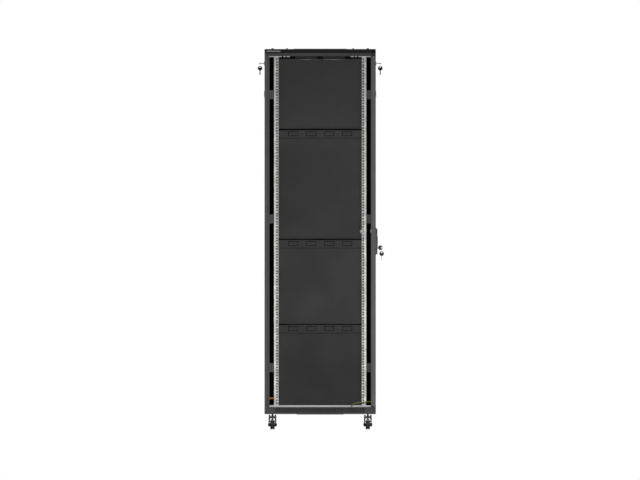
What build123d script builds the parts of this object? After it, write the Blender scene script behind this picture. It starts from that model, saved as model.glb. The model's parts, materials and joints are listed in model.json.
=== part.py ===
from build123d import *
from math import cos, pi, radians, sin, tan
import os

# A 42-unit network rack cabinet on casters, in millimetres, with its front door standing open.
# X points to the right, Y from front to rear, Z up. The origin is the middle of the base frame's
# underside, so the floor is CASTER_HEIGHT below it.

# ---------------------------------------------------------------- overall sizes
WIDTH = 600.0
DEPTH = 800.0
HEIGHT = 1968.0
CASTER_HEIGHT = 82.0

# ---------------------------------------------------------------- sheet thicknesses and gaps
FRAME_SHEET = 2.0
PANEL_SHEET = 1.2
ROOF_SHEET = 1.5
DOOR_SHEET = 1.5
RUNNING = 0.05  # radial clearance of a pin or shaft that turns
LOOSE = 0.3  # clearance between faces that slide past each other
CUT = 1.0  # how far a cutting shape runs past the sheet that it cuts

# ---------------------------------------------------------------- base, top and columns
BEAM_HEIGHT = 38.5
BEAM_DEPTH = 60.0
SIDE_BEAM_WIDTH = 50.0
COLUMN_WIDTH = 15.0
COLUMN_DEPTH = 50.0
PANEL_THICKNESS = 12.0
VENT_PITCH = 15.1
VENT_WIDTH = 6.5
VENT_HEIGHT = 25.0
VENT_RAISE = 3.0  # slots above the middle of the base beam
TOP_VENT_PITCH = 10.8
TOP_VENT_WIDTH = 4.0
TOP_VENT_HEIGHT = 12.0
TOP_VENT_RAISE = 3.0  # slots above the foot of the top beam
FASCIA_HEIGHT = 20.0
FASCIA_SHEET = 1.5
PLATE_THICKNESS = 5.0
CABLE_GAP = (260.0, 120.0)  # cable entries in the floor and the roof
CABLE_GAP_BACK = 170.0  # middle of the cable entries in front of the rear face
COVER_LAP = 12.0
FLOOR_LAP = 18.0  # how far the floor rests on each side beam
FLOOR_GAP = 6.0  # between the floor and the front and rear beams
STRIP = (250.0, 2.0, 8.3)  # width, thickness and height of the welded anti-tip strip
STRIP_DROP = 2.3
BADGE_SPAN = (7.0, 90.0)  # from the left side
BADGE_TALL = 11.0
PLINTH_INSET = (100.0, 30.0)  # plinth bolts from the sides and from the ends
PLINTH_HOLE_R = 5.5

# ---------------------------------------------------------------- 19-inch rails
UNIT = 44.45
RAIL_OPENING = 450.0
RAIL_FACE = 23.5
RAIL_DEPTH = 40.0
RAIL_SETBACK = 70.0
REAR_RAIL_SETBACK = 110.0
RAIL_HOLE = 9.5
RAIL_HOLE_SPAN = 465.1
UNIT_HOLES = (6.35, 22.225, 38.1)  # heights of the three holes in each rack unit
RAIL_BAR_HEIGHT = 9.2
BAR_LAP = 12.0  # how far the rail bars reach over the base beams
TOP_BRACKET_HEIGHT = 4.5
BRACE_LOW = 251.0
BRACE_MIDDLE = 1052.0
BRACE_DROP = 246.0  # top brace below the roof
BRACE_TALL = 48.0
BRACE_SETBACK = 3.0
BOLT_R = 5.5
BOLT_HEAD = 4.5
ROOF_BOLTS = ((43.0, 6.0), (122.0, 4.0))  # distance from the side and head radius
ROOF_BOLT_INSET = 30.0
TOP_TABS = ((187.0, 199.0), (164.0, 180.0))
TOP_BRACKET_IN = 207.0

# ---------------------------------------------------------------- doors
DOOR_THICKNESS = 24.0
DOOR_SIDE_GAP = 2.0
DOOR_EDGE_GAP = 5.5
DOOR_BACK_GAP = 5.0
DOOR_STILE = 60.0
DOOR_BORDER = 80.0
DOOR_LIP = 10.0
GLASS_THICKNESS = 4.0
GLASS_OVERLAP = 12.0
SEAL_THICKNESS = 3.0
PIN_R = 4.0
PIN_REACH = 12.0
STIFFENER_HEIGHTS = (461.0, 919.0, 1511.0)
STIFFENER_TALL = 50.0
STIFFENER_DEEP = 16.0
KNOCKOUT_PITCH = 97.0
KNOCKOUT = (54.0, 24.0)
KNOCKOUT_SUNK = 0.6

# ---------------------------------------------------------------- handles, locks and keys
HANDLE_HEIGHT = 985.0
HANDLE_INSET = 38.0
HANDLE_BASE = (30.0, 148.0, 2.5)  # width, length, thickness
HANDLE_DROP = 53.0  # centre of the base plate below the turning axis
LEVER_WIDTH = 24.0
LEVER_THICKNESS = 6.0
LEVER_REACH = 123.0
HUB_R = 8.0
HUB_HEAD = 5.0
LIFT_PIN_R = 1.5
LIFT_PIN_UP = 13.5
HUB_HEAD_WIDTH = 10.0
HUB_HEAD_DROP = 10.0
CAM_THICKNESS = 3.0
CAM_GAP = 0.8  # between the door's back and its cam
HEAD_ABOVE_PIN = 2.5
SLOT_ROOM = 0.7
LEVER_TIP = 6.0
BASE_ROUND = 6.0
CAM_REACH = 45.0
CAM_R = 9.0
LEVER_LOCK_DROP = 88.0
PLUG_R = 5.5
KEY_R = 12.0
KEY_SHEET = 2.0
KEY_HOLE_R = 3.5
RING_R = 10.0
RING_WIRE_R = 0.8
KEY_HOLE_OUT = 7.0
PLUG_PROUD = 1.0
SIDE_CAM_REACH = 28.0
KEY_SHANK = (6.0, 23.0)
KEY_NECK = 8.0  # width of a key's blade where it stands out of its lock
FRONT_KEY_OUT = 24.5
SIDE_KEY_OUT = 17.0
SIDE_RING_DROP = 7.4
SIDE_RING_SHIFT = 6.6
SIDE_LOCK_DROP = 77.0  # below the roof
BARREL_R = 8.0
BARREL_FLANGE_R = 11.0
BARREL_FLANGE = 2.5
BARREL_DEEP = 16.0
LATCH_DROP = 242.5  # below the roof
LATCH_TALL = 33.0
LATCH_PROUD = 2.2
LATCH_TRAVEL = 8.0
LATCH_WIDTH = 40.0
LATCH_NECK = (12.0, 15.0)

# ---------------------------------------------------------------- fans
FAN_SPACING = 150.0
FAN_SIDE = 120.0
FAN_DEEP = 25.4
FAN_BORE_R = 57.0
FAN_HUB_R = 20.0
FAN_STRUT = 4.0
STRUT_WIDTH = 5.0
STRUT_LAP = 2.0
STRUT_TURN = 20.0
GRILLE_MARGIN = 5.0
GRILLE_PITCH = 8.0
GRILLE_SLOTS = 13
TUB_MARGIN = 8.0
GUARD_WIRE = 1.6
GUARD_RINGS = (56.0, 44.0, 32.0, 20.0)
GUARD_SPOKE = 74.0
FAN_DROP = 30.0  # top of the fans below the roof
FAN_PLACE_Y = -90.0
BLADES = 7
BLADE_TILT = 35.0
BLADE_WIDTH = 16.0
BLADE_SHEET = 1.5
BLADE_SINK = 3.0  # how deep each blade's root is let into the hub
ROTOR_INSET = 3.0
ROTOR_GAP = 1.0

# ---------------------------------------------------------------- casters
CASTER_INSET = (43.0, 35.0)  # stems from the sides and from the ends
CASTER_PLATE = (35.0, 23.0)  # half the mounting plate across and along the cabinet
STEM_R = 5.0
CROWN_TOP = -12.7
CROWN_THICKNESS = 8.3
FORK_WIDTH = 42.0
FORK_SHEET = 7.0
WHEEL_R = 25.0
WHEEL_WIDTH = 23.0
WHEEL_HUB_R = 9.0
WHEEL_ROUND = 3.0
STEM_END = 9.0  # how far the kingpin hangs below the crown
STEM_UP = 17.0
STEM_NECK = 5.0  # bare kingpin between the crown and its head
STEM_HEAD_R = 8.0
STEM_CAP_R = 9.0
STEM_CAP_TALL = 4.0
NUT_R = 9.0
NUT_HEIGHT = 7.0
AXLE_R = 4.0
TRAIL = 20.0
PEDAL_R = 8.0
PEDAL_PIN_R = 2.5
PEDAL_OUT = 13.0  # pivot in front of the stem
PEDAL_Z = -38.5
PEDAL_LONG = 14.0
PEDAL_BACK = 3.0  # the head's reach behind its pin
PEDAL_TONGUE = (14.0, 4.0, 22.0)  # width, thickness and drop of the plate under the pedal's head
TONGUE_BACK = 1.0  # the tongue's face behind the pedal's tip
CROWN_HALF = 20.0
LEG_HALF = 8.0  # half the fork leg's foot, and a quarter of its width at the axle
LEG_BELOW = 10.0
LEG_RISE = 14.0
AXLE_NUT_R = 7.0
AXLE_NUT_TALL = 3.0

# ---------------------------------------------------------------- earth lead, a route chosen by hand
LEAD_R = 2.0
STUD_R = 3.0
EARTH_BOLT = (21.0, 46.5)  # behind the column's front and above the base beam
EARTH_BOLT_R = 4.0
EARTH_BOLT_LENGTH = 23.5
BEND_SHARE = 0.45  # how much of the shorter run each bend takes
LEAD_FROM_CORNER = [  # measured from the base beam's top corner by the door's hinge
    (-131.0, 34.0, 8.5),
    (-119.0, 30.0, 18.5),
    (-96.0, 21.0, 24.0),
    (-69.0, 4.0, 26.5),
    (-44.0, -19.0, 29.0),
    (-25.0, -41.0, 28.0),
    (-16.0, -62.0, 27.0),
]

# ---------------------------------------------------------------- values worked out from the above
HALF_WIDTH = WIDTH / 2
HALF_DEPTH = DEPTH / 2
FRAME_TOP = HEIGHT - ROOF_SHEET
TOP_BEAM_FOOT = FRAME_TOP - BEAM_HEIGHT + ROOF_SHEET
COLUMN_OUT = HALF_WIDTH - PANEL_THICKNESS
COLUMN_IN = COLUMN_OUT - COLUMN_WIDTH
COLUMN_FRONT = HALF_DEPTH - DOOR_THICKNESS - DOOR_BACK_GAP
COLUMN_BACK = COLUMN_FRONT - COLUMN_DEPTH
BEAM_BACK = HALF_DEPTH - BEAM_DEPTH
DOOR_FOOT = BEAM_HEIGHT + DOOR_EDGE_GAP
DOOR_TOP = TOP_BEAM_FOOT - DOOR_EDGE_GAP
DOOR_HALF = HALF_WIDTH - DOOR_SIDE_GAP
HINGE_X = HALF_WIDTH - DOOR_THICKNESS / 2
HINGE_Y = HALF_DEPTH - DOOR_THICKNESS / 2
OPEN_NEAR = -HINGE_Y + DOOR_HALF - HINGE_X
OPEN_FAR = -HINGE_Y - DOOR_HALF - HINGE_X
OPEN_IN = HALF_WIDTH - DOOR_THICKNESS
RAIL_IN = RAIL_OPENING / 2
RAIL_OUT = RAIL_IN + RAIL_FACE
RAIL_FOOT = BEAM_HEIGHT + RAIL_BAR_HEIGHT
RAIL_TOP = TOP_BEAM_FOOT - TOP_BRACKET_HEIGHT
FRONT_RAIL = -(HALF_DEPTH - RAIL_SETBACK)
REAR_RAIL = HALF_DEPTH - REAR_RAIL_SETBACK
RACK_UNITS = int((RAIL_TOP - RAIL_FOOT) // UNIT)
FIRST_UNIT = RAIL_FOOT + (RAIL_TOP - RAIL_FOOT - RACK_UNITS * UNIT) / 2
AXLE_Z = WHEEL_R - CASTER_HEIGHT
CABLE_GAP_Y = HALF_DEPTH - CABLE_GAP_BACK
BRACE_HEIGHTS = (BRACE_LOW, BRACE_MIDDLE, HEIGHT - BRACE_DROP)
SIDE_LOCK_HEIGHT = HEIGHT - SIDE_LOCK_DROP
LATCH_HEIGHT = HEIGHT - LATCH_DROP
FAN_TOP = HEIGHT - FAN_DROP
CASTER_X = HALF_WIDTH - CASTER_INSET[0]
CASTER_Y = HALF_DEPTH - CASTER_INSET[1]
LEAD_POINTS = [(HALF_WIDTH + x, y - HALF_DEPTH, BEAM_HEIGHT + z) for x, y, z in LEAD_FROM_CORNER]

os.makedirs("parts", exist_ok=True)


def block(x, y, z, mode=Mode.ADD):
    """Add a block that spans the pairs x, y and z to the part being made."""
    spans = [sorted(pair) for pair in (x, y, z)]
    middle = [(low + high) / 2 for low, high in spans]
    with Locations(tuple(middle)):
        Box(*[high - low for low, high in spans], mode=mode)


def rod(along, centre, radius, span, mode=Mode.ADD):
    """Add a round rod along "X", "Y" or "Z"; centre gives its two other coordinates in order."""
    low, high = sorted(span)
    start = {
        "X": Plane.YZ.offset(low),
        "Y": Plane.XZ.offset(-high),
        "Z": Plane.XY.offset(low),
    }[along]
    with BuildSketch(start) as disc:
        with Locations(centre):
            Circle(radius)
    extrude(disc.sketch, amount=high - low, mode=mode)


def save(part, node):
    """Label a finished piece and write it as its own STEP file."""
    part.label = node
    export_step(part, f"parts/{node}.step")


def channel(x, y, z, wall, open_side):
    """Add a closed-ended sheet channel whose long open side faces "-X", "+X", "-Y" or "+Y"."""
    block(x, y, z)
    inside = [[low + wall, high - wall] for low, high in (sorted(x), sorted(y), sorted(z))]
    mouth = inside["XY".index(open_side[1])]
    if open_side[0] == "+":
        mouth[1] += 2 * wall
    else:
        mouth[0] -= 2 * wall
    block(*inside, mode=Mode.SUBTRACT)


# ================================================================ root frame
with BuildPart() as columns:
    for side in (-1, 1):
        for end in (-1, 1):
            across = (side * COLUMN_IN, side * COLUMN_OUT)
            along = (end * COLUMN_BACK, end * COLUMN_FRONT)
            block(across, along, (BEAM_HEIGHT, TOP_BEAM_FOOT))
            block(
                (side * (COLUMN_IN + FRAME_SHEET), side * (COLUMN_OUT - FRAME_SHEET)),
                (end * (COLUMN_BACK + FRAME_SHEET), end * (COLUMN_FRONT - FRAME_SHEET)),
                (BEAM_HEIGHT, TOP_BEAM_FOOT),
                mode=Mode.SUBTRACT,
            )
save(columns.part, "columns")

vent_count = int(2 * (COLUMN_OUT - SIDE_BEAM_WIDTH) / VENT_PITCH) + 1
for node, end in (("base_front_beam", -1), ("base_rear_beam", 1)):
    with BuildPart() as base_beam:
        open_side = "+Y" if end < 0 else "-Y"
        channel(
            (-HALF_WIDTH, HALF_WIDTH),
            (end * HALF_DEPTH, end * BEAM_BACK),
            (0, BEAM_HEIGHT),
            FRAME_SHEET,
            open_side,
        )
        if end < 0:
            with BuildSketch(Plane.XZ.offset(HALF_DEPTH)) as vents:
                with Locations((0, BEAM_HEIGHT / 2 + VENT_RAISE)):
                    with GridLocations(VENT_PITCH, 1, vent_count, 1):
                        Rectangle(VENT_WIDTH, VENT_HEIGHT)
            extrude(vents.sketch, amount=FRAME_SHEET + CUT, both=True, mode=Mode.SUBTRACT)
        for side in (-1, 1):
            stem_at = (side * CASTER_X, end * CASTER_Y)
            rod("Z", stem_at, STEM_R + RUNNING, (-CUT, FRAME_SHEET + CUT), mode=Mode.SUBTRACT)
            bolt_at = (side * (HALF_WIDTH - PLINTH_INSET[0]), end * (HALF_DEPTH - PLINTH_INSET[1]))
            rod("Z", bolt_at, PLINTH_HOLE_R, (-CUT, FRAME_SHEET + CUT), mode=Mode.SUBTRACT)
        if end < 0:
            block(
                (-STRIP[0] / 2, STRIP[0] / 2),
                (-HALF_DEPTH - STRIP[1], -HALF_DEPTH),
                (-STRIP_DROP, STRIP[2] - STRIP_DROP),
            )
    save(base_beam.part, node)

with BuildPart() as base_side_beams:
    for side, open_side in ((-1, "+X"), (1, "-X")):
        channel(
            (side * (HALF_WIDTH - SIDE_BEAM_WIDTH), side * HALF_WIDTH),
            (-BEAM_BACK, BEAM_BACK),
            (0, BEAM_HEIGHT),
            FRAME_SHEET,
            open_side,
        )
save(base_side_beams.part, "base_side_beams")

with BuildPart() as caster_plates:
    for side in (-1, 1):
        for end in (-1, 1):
            block(
                (side * (CASTER_X - CASTER_PLATE[0]), side * (CASTER_X + CASTER_PLATE[0])),
                (end * (CASTER_Y - CASTER_PLATE[1]), end * (CASTER_Y + CASTER_PLATE[1])),
                (FRAME_SHEET, FRAME_SHEET + PLATE_THICKNESS),
            )
            rod(
                "Z",
                (side * CASTER_X, end * CASTER_Y),
                STEM_R + RUNNING,
                (0, FRAME_SHEET + PLATE_THICKNESS + CUT),
                mode=Mode.SUBTRACT,
            )
save(caster_plates.part, "caster_plates")

with BuildPart() as base_panel:
    floor_span = (BEAM_HEIGHT, BEAM_HEIGHT + PANEL_SHEET)
    floor_x = HALF_WIDTH - SIDE_BEAM_WIDTH + FLOOR_LAP
    floor_y = BEAM_BACK - FLOOR_GAP
    block((-floor_x, floor_x), (-floor_y, floor_y), floor_span)
    block(
        (-CABLE_GAP[0] / 2, CABLE_GAP[0] / 2),
        (CABLE_GAP_Y - CABLE_GAP[1] / 2, CABLE_GAP_Y + CABLE_GAP[1] / 2),
        floor_span,
        mode=Mode.SUBTRACT,
    )
save(base_panel.part, "base_panel")

with BuildPart() as cable_covers:
    for low in (BEAM_HEIGHT + PANEL_SHEET, HEIGHT):
        block(
            (-CABLE_GAP[0] / 2 - COVER_LAP, CABLE_GAP[0] / 2 + COVER_LAP),
            (
                CABLE_GAP_Y - CABLE_GAP[1] / 2 - COVER_LAP,
                CABLE_GAP_Y + CABLE_GAP[1] / 2 + COVER_LAP,
            ),
            (low, low + ROOF_SHEET),
        )
save(cable_covers.part, "cable_covers")

# Bright zinc rail mountings. Below, angles: an upright leg faces the doors and a flat leg carries
# the rail feet. Above, plates and tabs under the top beams.
with BuildPart() as rail_bars:
    for end, foot_end in ((-1, FRONT_RAIL + RAIL_DEPTH), (1, REAR_RAIL - RAIL_DEPTH)):
        upright = (end * (BEAM_BACK + BAR_LAP), end * (BEAM_BACK + BAR_LAP - FRAME_SHEET))
        across = (-COLUMN_IN + LOOSE, COLUMN_IN - LOOSE)
        block(across, upright, (BEAM_HEIGHT, RAIL_FOOT))
        block(across, (upright[0], foot_end), (RAIL_FOOT - FRAME_SHEET, RAIL_FOOT))
        lap = end * (BEAM_BACK + BAR_LAP)
        for side in (-1, 1):
            plate_x = (side * TOP_BRACKET_IN, side * (COLUMN_IN - LOOSE))
            block(plate_x, (lap, foot_end), (RAIL_TOP, TOP_BEAM_FOOT))
            for tab in TOP_TABS:
                tab_x = (side * tab[0], side * tab[1])
                block(tab_x, (lap, end * BEAM_BACK), (RAIL_TOP, TOP_BEAM_FOOT))
save(rail_bars.part, "rail_bars")

for node, end in (("top_front_beam", -1), ("top_rear_beam", 1)):
    with BuildPart() as top_beam:
        open_side = "+Y" if end < 0 else "-Y"
        channel(
            (-HALF_WIDTH, HALF_WIDTH),
            (end * HALF_DEPTH, end * BEAM_BACK),
            (TOP_BEAM_FOOT, FRAME_TOP),
            FRAME_SHEET,
            open_side,
        )
        if end < 0:
            top_vents = int(2 * (HALF_WIDTH - 2 * FRAME_SHEET) / TOP_VENT_PITCH)
            with BuildSketch(Plane.XZ.offset(HALF_DEPTH)) as vents:
                with Locations((0, TOP_BEAM_FOOT + TOP_VENT_RAISE + TOP_VENT_HEIGHT / 2)):
                    with GridLocations(TOP_VENT_PITCH, 1, top_vents, 1):
                        Rectangle(TOP_VENT_WIDTH, TOP_VENT_HEIGHT)
            extrude(vents.sketch, amount=FRAME_SHEET + CUT, both=True, mode=Mode.SUBTRACT)
    save(top_beam.part, node)

with BuildPart() as top_side_beams:
    for side, open_side in ((-1, "+X"), (1, "-X")):
        channel(
            (side * (HALF_WIDTH - SIDE_BEAM_WIDTH), side * HALF_WIDTH),
            (-BEAM_BACK, BEAM_BACK),
            (TOP_BEAM_FOOT, FRAME_TOP),
            FRAME_SHEET,
            open_side,
        )
save(top_side_beams.part, "top_side_beams")

with BuildPart() as front_fascia:
    block(
        (-HALF_WIDTH + DOOR_SIDE_GAP, HALF_WIDTH - DOOR_SIDE_GAP),
        (-HALF_DEPTH - FASCIA_SHEET, -HALF_DEPTH),
        (FRAME_TOP - FASCIA_HEIGHT, FRAME_TOP),
    )
    badge_middle = FRAME_TOP - FASCIA_HEIGHT / 2
    block(
        (-HALF_WIDTH + BADGE_SPAN[0], -HALF_WIDTH + BADGE_SPAN[1]),
        (-HALF_DEPTH - 2 * FASCIA_SHEET, -HALF_DEPTH - FASCIA_SHEET),
        (badge_middle - BADGE_TALL / 2, badge_middle + BADGE_TALL / 2),
    )
save(front_fascia.part, "front_fascia")

fan_places = [(side * FAN_SPACING / 2, FAN_PLACE_Y) for side in (-1, 1)]
with BuildPart() as roof_panel:
    roof_span = (FRAME_TOP, HEIGHT)
    block(
        (-HALF_WIDTH + DOOR_SIDE_GAP, HALF_WIDTH - DOOR_SIDE_GAP),
        (-HALF_DEPTH + DOOR_SIDE_GAP, HALF_DEPTH - DOOR_SIDE_GAP),
        roof_span,
    )
    block(
        (-CABLE_GAP[0] / 2, CABLE_GAP[0] / 2),
        (CABLE_GAP_Y - CABLE_GAP[1] / 2, CABLE_GAP_Y + CABLE_GAP[1] / 2),
        roof_span,
        mode=Mode.SUBTRACT,
    )
    with BuildSketch(Plane.XY.offset(FRAME_TOP)) as grilles:
        for place in fan_places:
            with Locations(place):
                with GridLocations(1, GRILLE_PITCH, 1, GRILLE_SLOTS):
                    Rectangle(FAN_SIDE - 2 * GRILLE_MARGIN, GRILLE_PITCH / 2)
    extrude(grilles.sketch, amount=ROOF_SHEET, mode=Mode.SUBTRACT)

    # The fans hang below a sheet tub welded under the roof, with a round hole over each of them.
    tub_x = FAN_SPACING / 2 + FAN_SIDE / 2 + TUB_MARGIN
    tub_y = FAN_SIDE / 2 + TUB_MARGIN
    block((-tub_x, tub_x), (FAN_PLACE_Y - tub_y, FAN_PLACE_Y + tub_y), (FAN_TOP, FRAME_TOP))
    block(
        (-tub_x + PANEL_SHEET, tub_x - PANEL_SHEET),
        (FAN_PLACE_Y - tub_y + PANEL_SHEET, FAN_PLACE_Y + tub_y - PANEL_SHEET),
        (FAN_TOP + PANEL_SHEET, FRAME_TOP),
        mode=Mode.SUBTRACT,
    )
    for place in fan_places:
        tub_floor = (FAN_TOP - CUT, FAN_TOP + PANEL_SHEET + CUT)
        rod("Z", place, FAN_BORE_R, tub_floor, mode=Mode.SUBTRACT)
save(roof_panel.part, "roof_panel")

with BuildPart() as fan_housings:
    for place in fan_places:
        x_span = (place[0] - FAN_SIDE / 2, place[0] + FAN_SIDE / 2)
        y_span = (place[1] - FAN_SIDE / 2, place[1] + FAN_SIDE / 2)
        block(x_span, y_span, (FAN_TOP - FAN_DEEP, FAN_TOP))
        rod("Z", place, FAN_BORE_R, (FAN_TOP - FAN_DEEP - CUT, FAN_TOP + CUT), mode=Mode.SUBTRACT)
        rod("Z", place, FAN_HUB_R, (FAN_TOP - FAN_STRUT, FAN_TOP))
        with BuildSketch(Plane.XY.offset(FAN_TOP - FAN_STRUT)) as struts:
            with Locations(place):
                with PolarLocations((FAN_HUB_R + FAN_BORE_R) / 2, 4, start_angle=STRUT_TURN):
                    Rectangle(FAN_BORE_R - FAN_HUB_R + 2 * STRUT_LAP, STRUT_WIDTH)
        extrude(struts.sketch, amount=FAN_STRUT)
save(fan_housings.part, "fan_housings")

with BuildPart() as fan_guards:
    guard_foot = FAN_TOP - FAN_DEEP - GUARD_WIRE
    with BuildSketch(Plane.XY.offset(guard_foot)) as wires:
        for place in fan_places:
            with Locations(place):
                for radius in GUARD_RINGS:
                    Circle(radius + GUARD_WIRE / 2)
                    Circle(radius - GUARD_WIRE / 2, mode=Mode.SUBTRACT)
        for place in fan_places:
            with Locations(place):
                for turn in (45, 135):
                    Rectangle(2 * GUARD_SPOKE, GUARD_WIRE, rotation=turn)
    extrude(amount=GUARD_WIRE)
save(fan_guards.part, "fan_guards")

for side_name, side in (("left", -1), ("right", 1)):
    place = (side * FAN_SPACING / 2, FAN_PLACE_Y)
    with BuildPart() as rotor:
        rotor_foot = FAN_TOP - FAN_DEEP + ROTOR_INSET
        rotor_top = FAN_TOP - FAN_STRUT - ROTOR_GAP
        rod("Z", place, FAN_HUB_R - ROTOR_GAP, (rotor_foot, rotor_top))
        for blade in range(BLADES):
            turn = radians(360 / BLADES * blade)
            outwards = Vector(cos(turn), sin(turn), 0)
            sideways = Vector(-sin(turn), cos(turn), 0)
            tilt = radians(BLADE_TILT)
            blade_plane = Plane(
                origin=(place[0], place[1], (rotor_foot + rotor_top) / 2),
                x_dir=outwards,
                z_dir=sideways * sin(tilt) + Vector(0, 0, cos(tilt)),
            )
            with BuildSketch(blade_plane) as wing:
                with Locations(((FAN_HUB_R + FAN_BORE_R) / 2 - BLADE_SINK, 0)):
                    Rectangle(FAN_BORE_R - FAN_HUB_R, BLADE_WIDTH)
            extrude(wing.sketch, amount=BLADE_SHEET / 2, both=True)
    save(rotor.part, f"fan_rotor_{side_name}")

rail_holes = [FIRST_UNIT + n * UNIT + up for n in range(RACK_UNITS) for up in UNIT_HOLES]
for end_name, face, into in (("front", FRONT_RAIL, 1), ("rear", REAR_RAIL, -1)):
    for side_name, side in (("left", -1), ("right", 1)):
        with BuildPart() as rail:
            tall = (RAIL_FOOT, RAIL_TOP)
            block((side * RAIL_IN, side * RAIL_OUT), (face, face + into * FRAME_SHEET), tall)
            flange = (side * (RAIL_OUT - FRAME_SHEET), side * RAIL_OUT)
            block(flange, (face, face + into * RAIL_DEPTH), tall)
            with BuildSketch(Plane.XZ.offset(-face)) as holes:
                with Locations([(side * RAIL_HOLE_SPAN / 2, up) for up in rail_holes]):
                    Rectangle(RAIL_HOLE, RAIL_HOLE)
            extrude(holes.sketch, amount=FRAME_SHEET + CUT, both=True, mode=Mode.SUBTRACT)
        save(rail.part, f"rail_{end_name}_{side_name}")

with BuildPart() as depth_braces:
    reach = COLUMN_FRONT - BRACE_SETBACK
    for side in (-1, 1):
        for height in BRACE_HEIGHTS:
            low, high = height - BRACE_TALL / 2, height + BRACE_TALL / 2
            block((side * RAIL_OUT, side * COLUMN_IN), (-reach, reach), (low, high))
            block(
                (side * (RAIL_OUT + FRAME_SHEET), side * (COLUMN_IN + CUT)),
                (-reach + FRAME_SHEET, reach - FRAME_SHEET),
                (low + FRAME_SHEET, high - FRAME_SHEET),
                mode=Mode.SUBTRACT,
            )
save(depth_braces.part, "depth_braces")

with BuildPart() as frame_bolts:
    for side in (-1, 1):
        seat = side * (RAIL_OUT - FRAME_SHEET)
        for middle in (FRONT_RAIL + RAIL_DEPTH / 2, REAR_RAIL - RAIL_DEPTH / 2):
            for height in BRACE_HEIGHTS:
                rod("X", (middle, height), BOLT_R, (seat, seat - side * BOLT_HEAD))
        for end in (-1, 1):
            for inset, radius in ROOF_BOLTS:
                bolt_at = (side * (HALF_WIDTH - inset), end * (HALF_DEPTH - ROOF_BOLT_INSET))
                rod("Z", bolt_at, radius, (HEIGHT, HEIGHT + BOLT_HEAD))
save(frame_bolts.part, "frame_bolts")

with BuildPart() as hinge_pins:
    for end in (-1, 1):
        pin_at = (-end * HINGE_X, end * HINGE_Y)
        rod("Z", pin_at, PIN_R, (BEAM_HEIGHT, DOOR_FOOT + PIN_REACH))
        rod("Z", pin_at, PIN_R, (DOOR_TOP - PIN_REACH, TOP_BEAM_FOOT))
save(hinge_pins.part, "hinge_pins")

with BuildPart() as earth_studs:
    rod("Z", LEAD_POINTS[0][:2], STUD_R, (BEAM_HEIGHT, LEAD_POINTS[0][2] - LEAD_R))
    bolt_at = (-COLUMN_FRONT + EARTH_BOLT[0], BEAM_HEIGHT + EARTH_BOLT[1])
    rod("X", bolt_at, EARTH_BOLT_R, (-COLUMN_IN, -COLUMN_IN + EARTH_BOLT_LENGTH))
save(earth_studs.part, "earth_studs")

# ================================================================ casters
corners = [
    ("front_left", -1, -1),
    ("front_right", 1, -1),
    ("rear_left", -1, 1),
    ("rear_right", 1, 1),
]
crown_foot = CROWN_TOP - CROWN_THICKNESS
with BuildPart() as caster_stems:
    for _, side, end in corners:
        stem_at = (side * CASTER_X, end * CASTER_Y)
        rod("Z", stem_at, STEM_R, (crown_foot - STEM_END, STEM_UP))
        rod("Z", stem_at, STEM_HEAD_R, (crown_foot - STEM_END, crown_foot - LOOSE - STEM_NECK))
        rod("Z", stem_at, STEM_CAP_R, (CROWN_TOP + LOOSE, CROWN_TOP + LOOSE + STEM_CAP_TALL))
        nut_foot = FRAME_SHEET + PLATE_THICKNESS
        with BuildSketch(Plane.XY.offset(nut_foot)) as nut:
            with Locations(stem_at):
                RegularPolygon(NUT_R, 6)
        extrude(nut.sketch, amount=NUT_HEIGHT)
save(caster_stems.part, "caster_stems")

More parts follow.
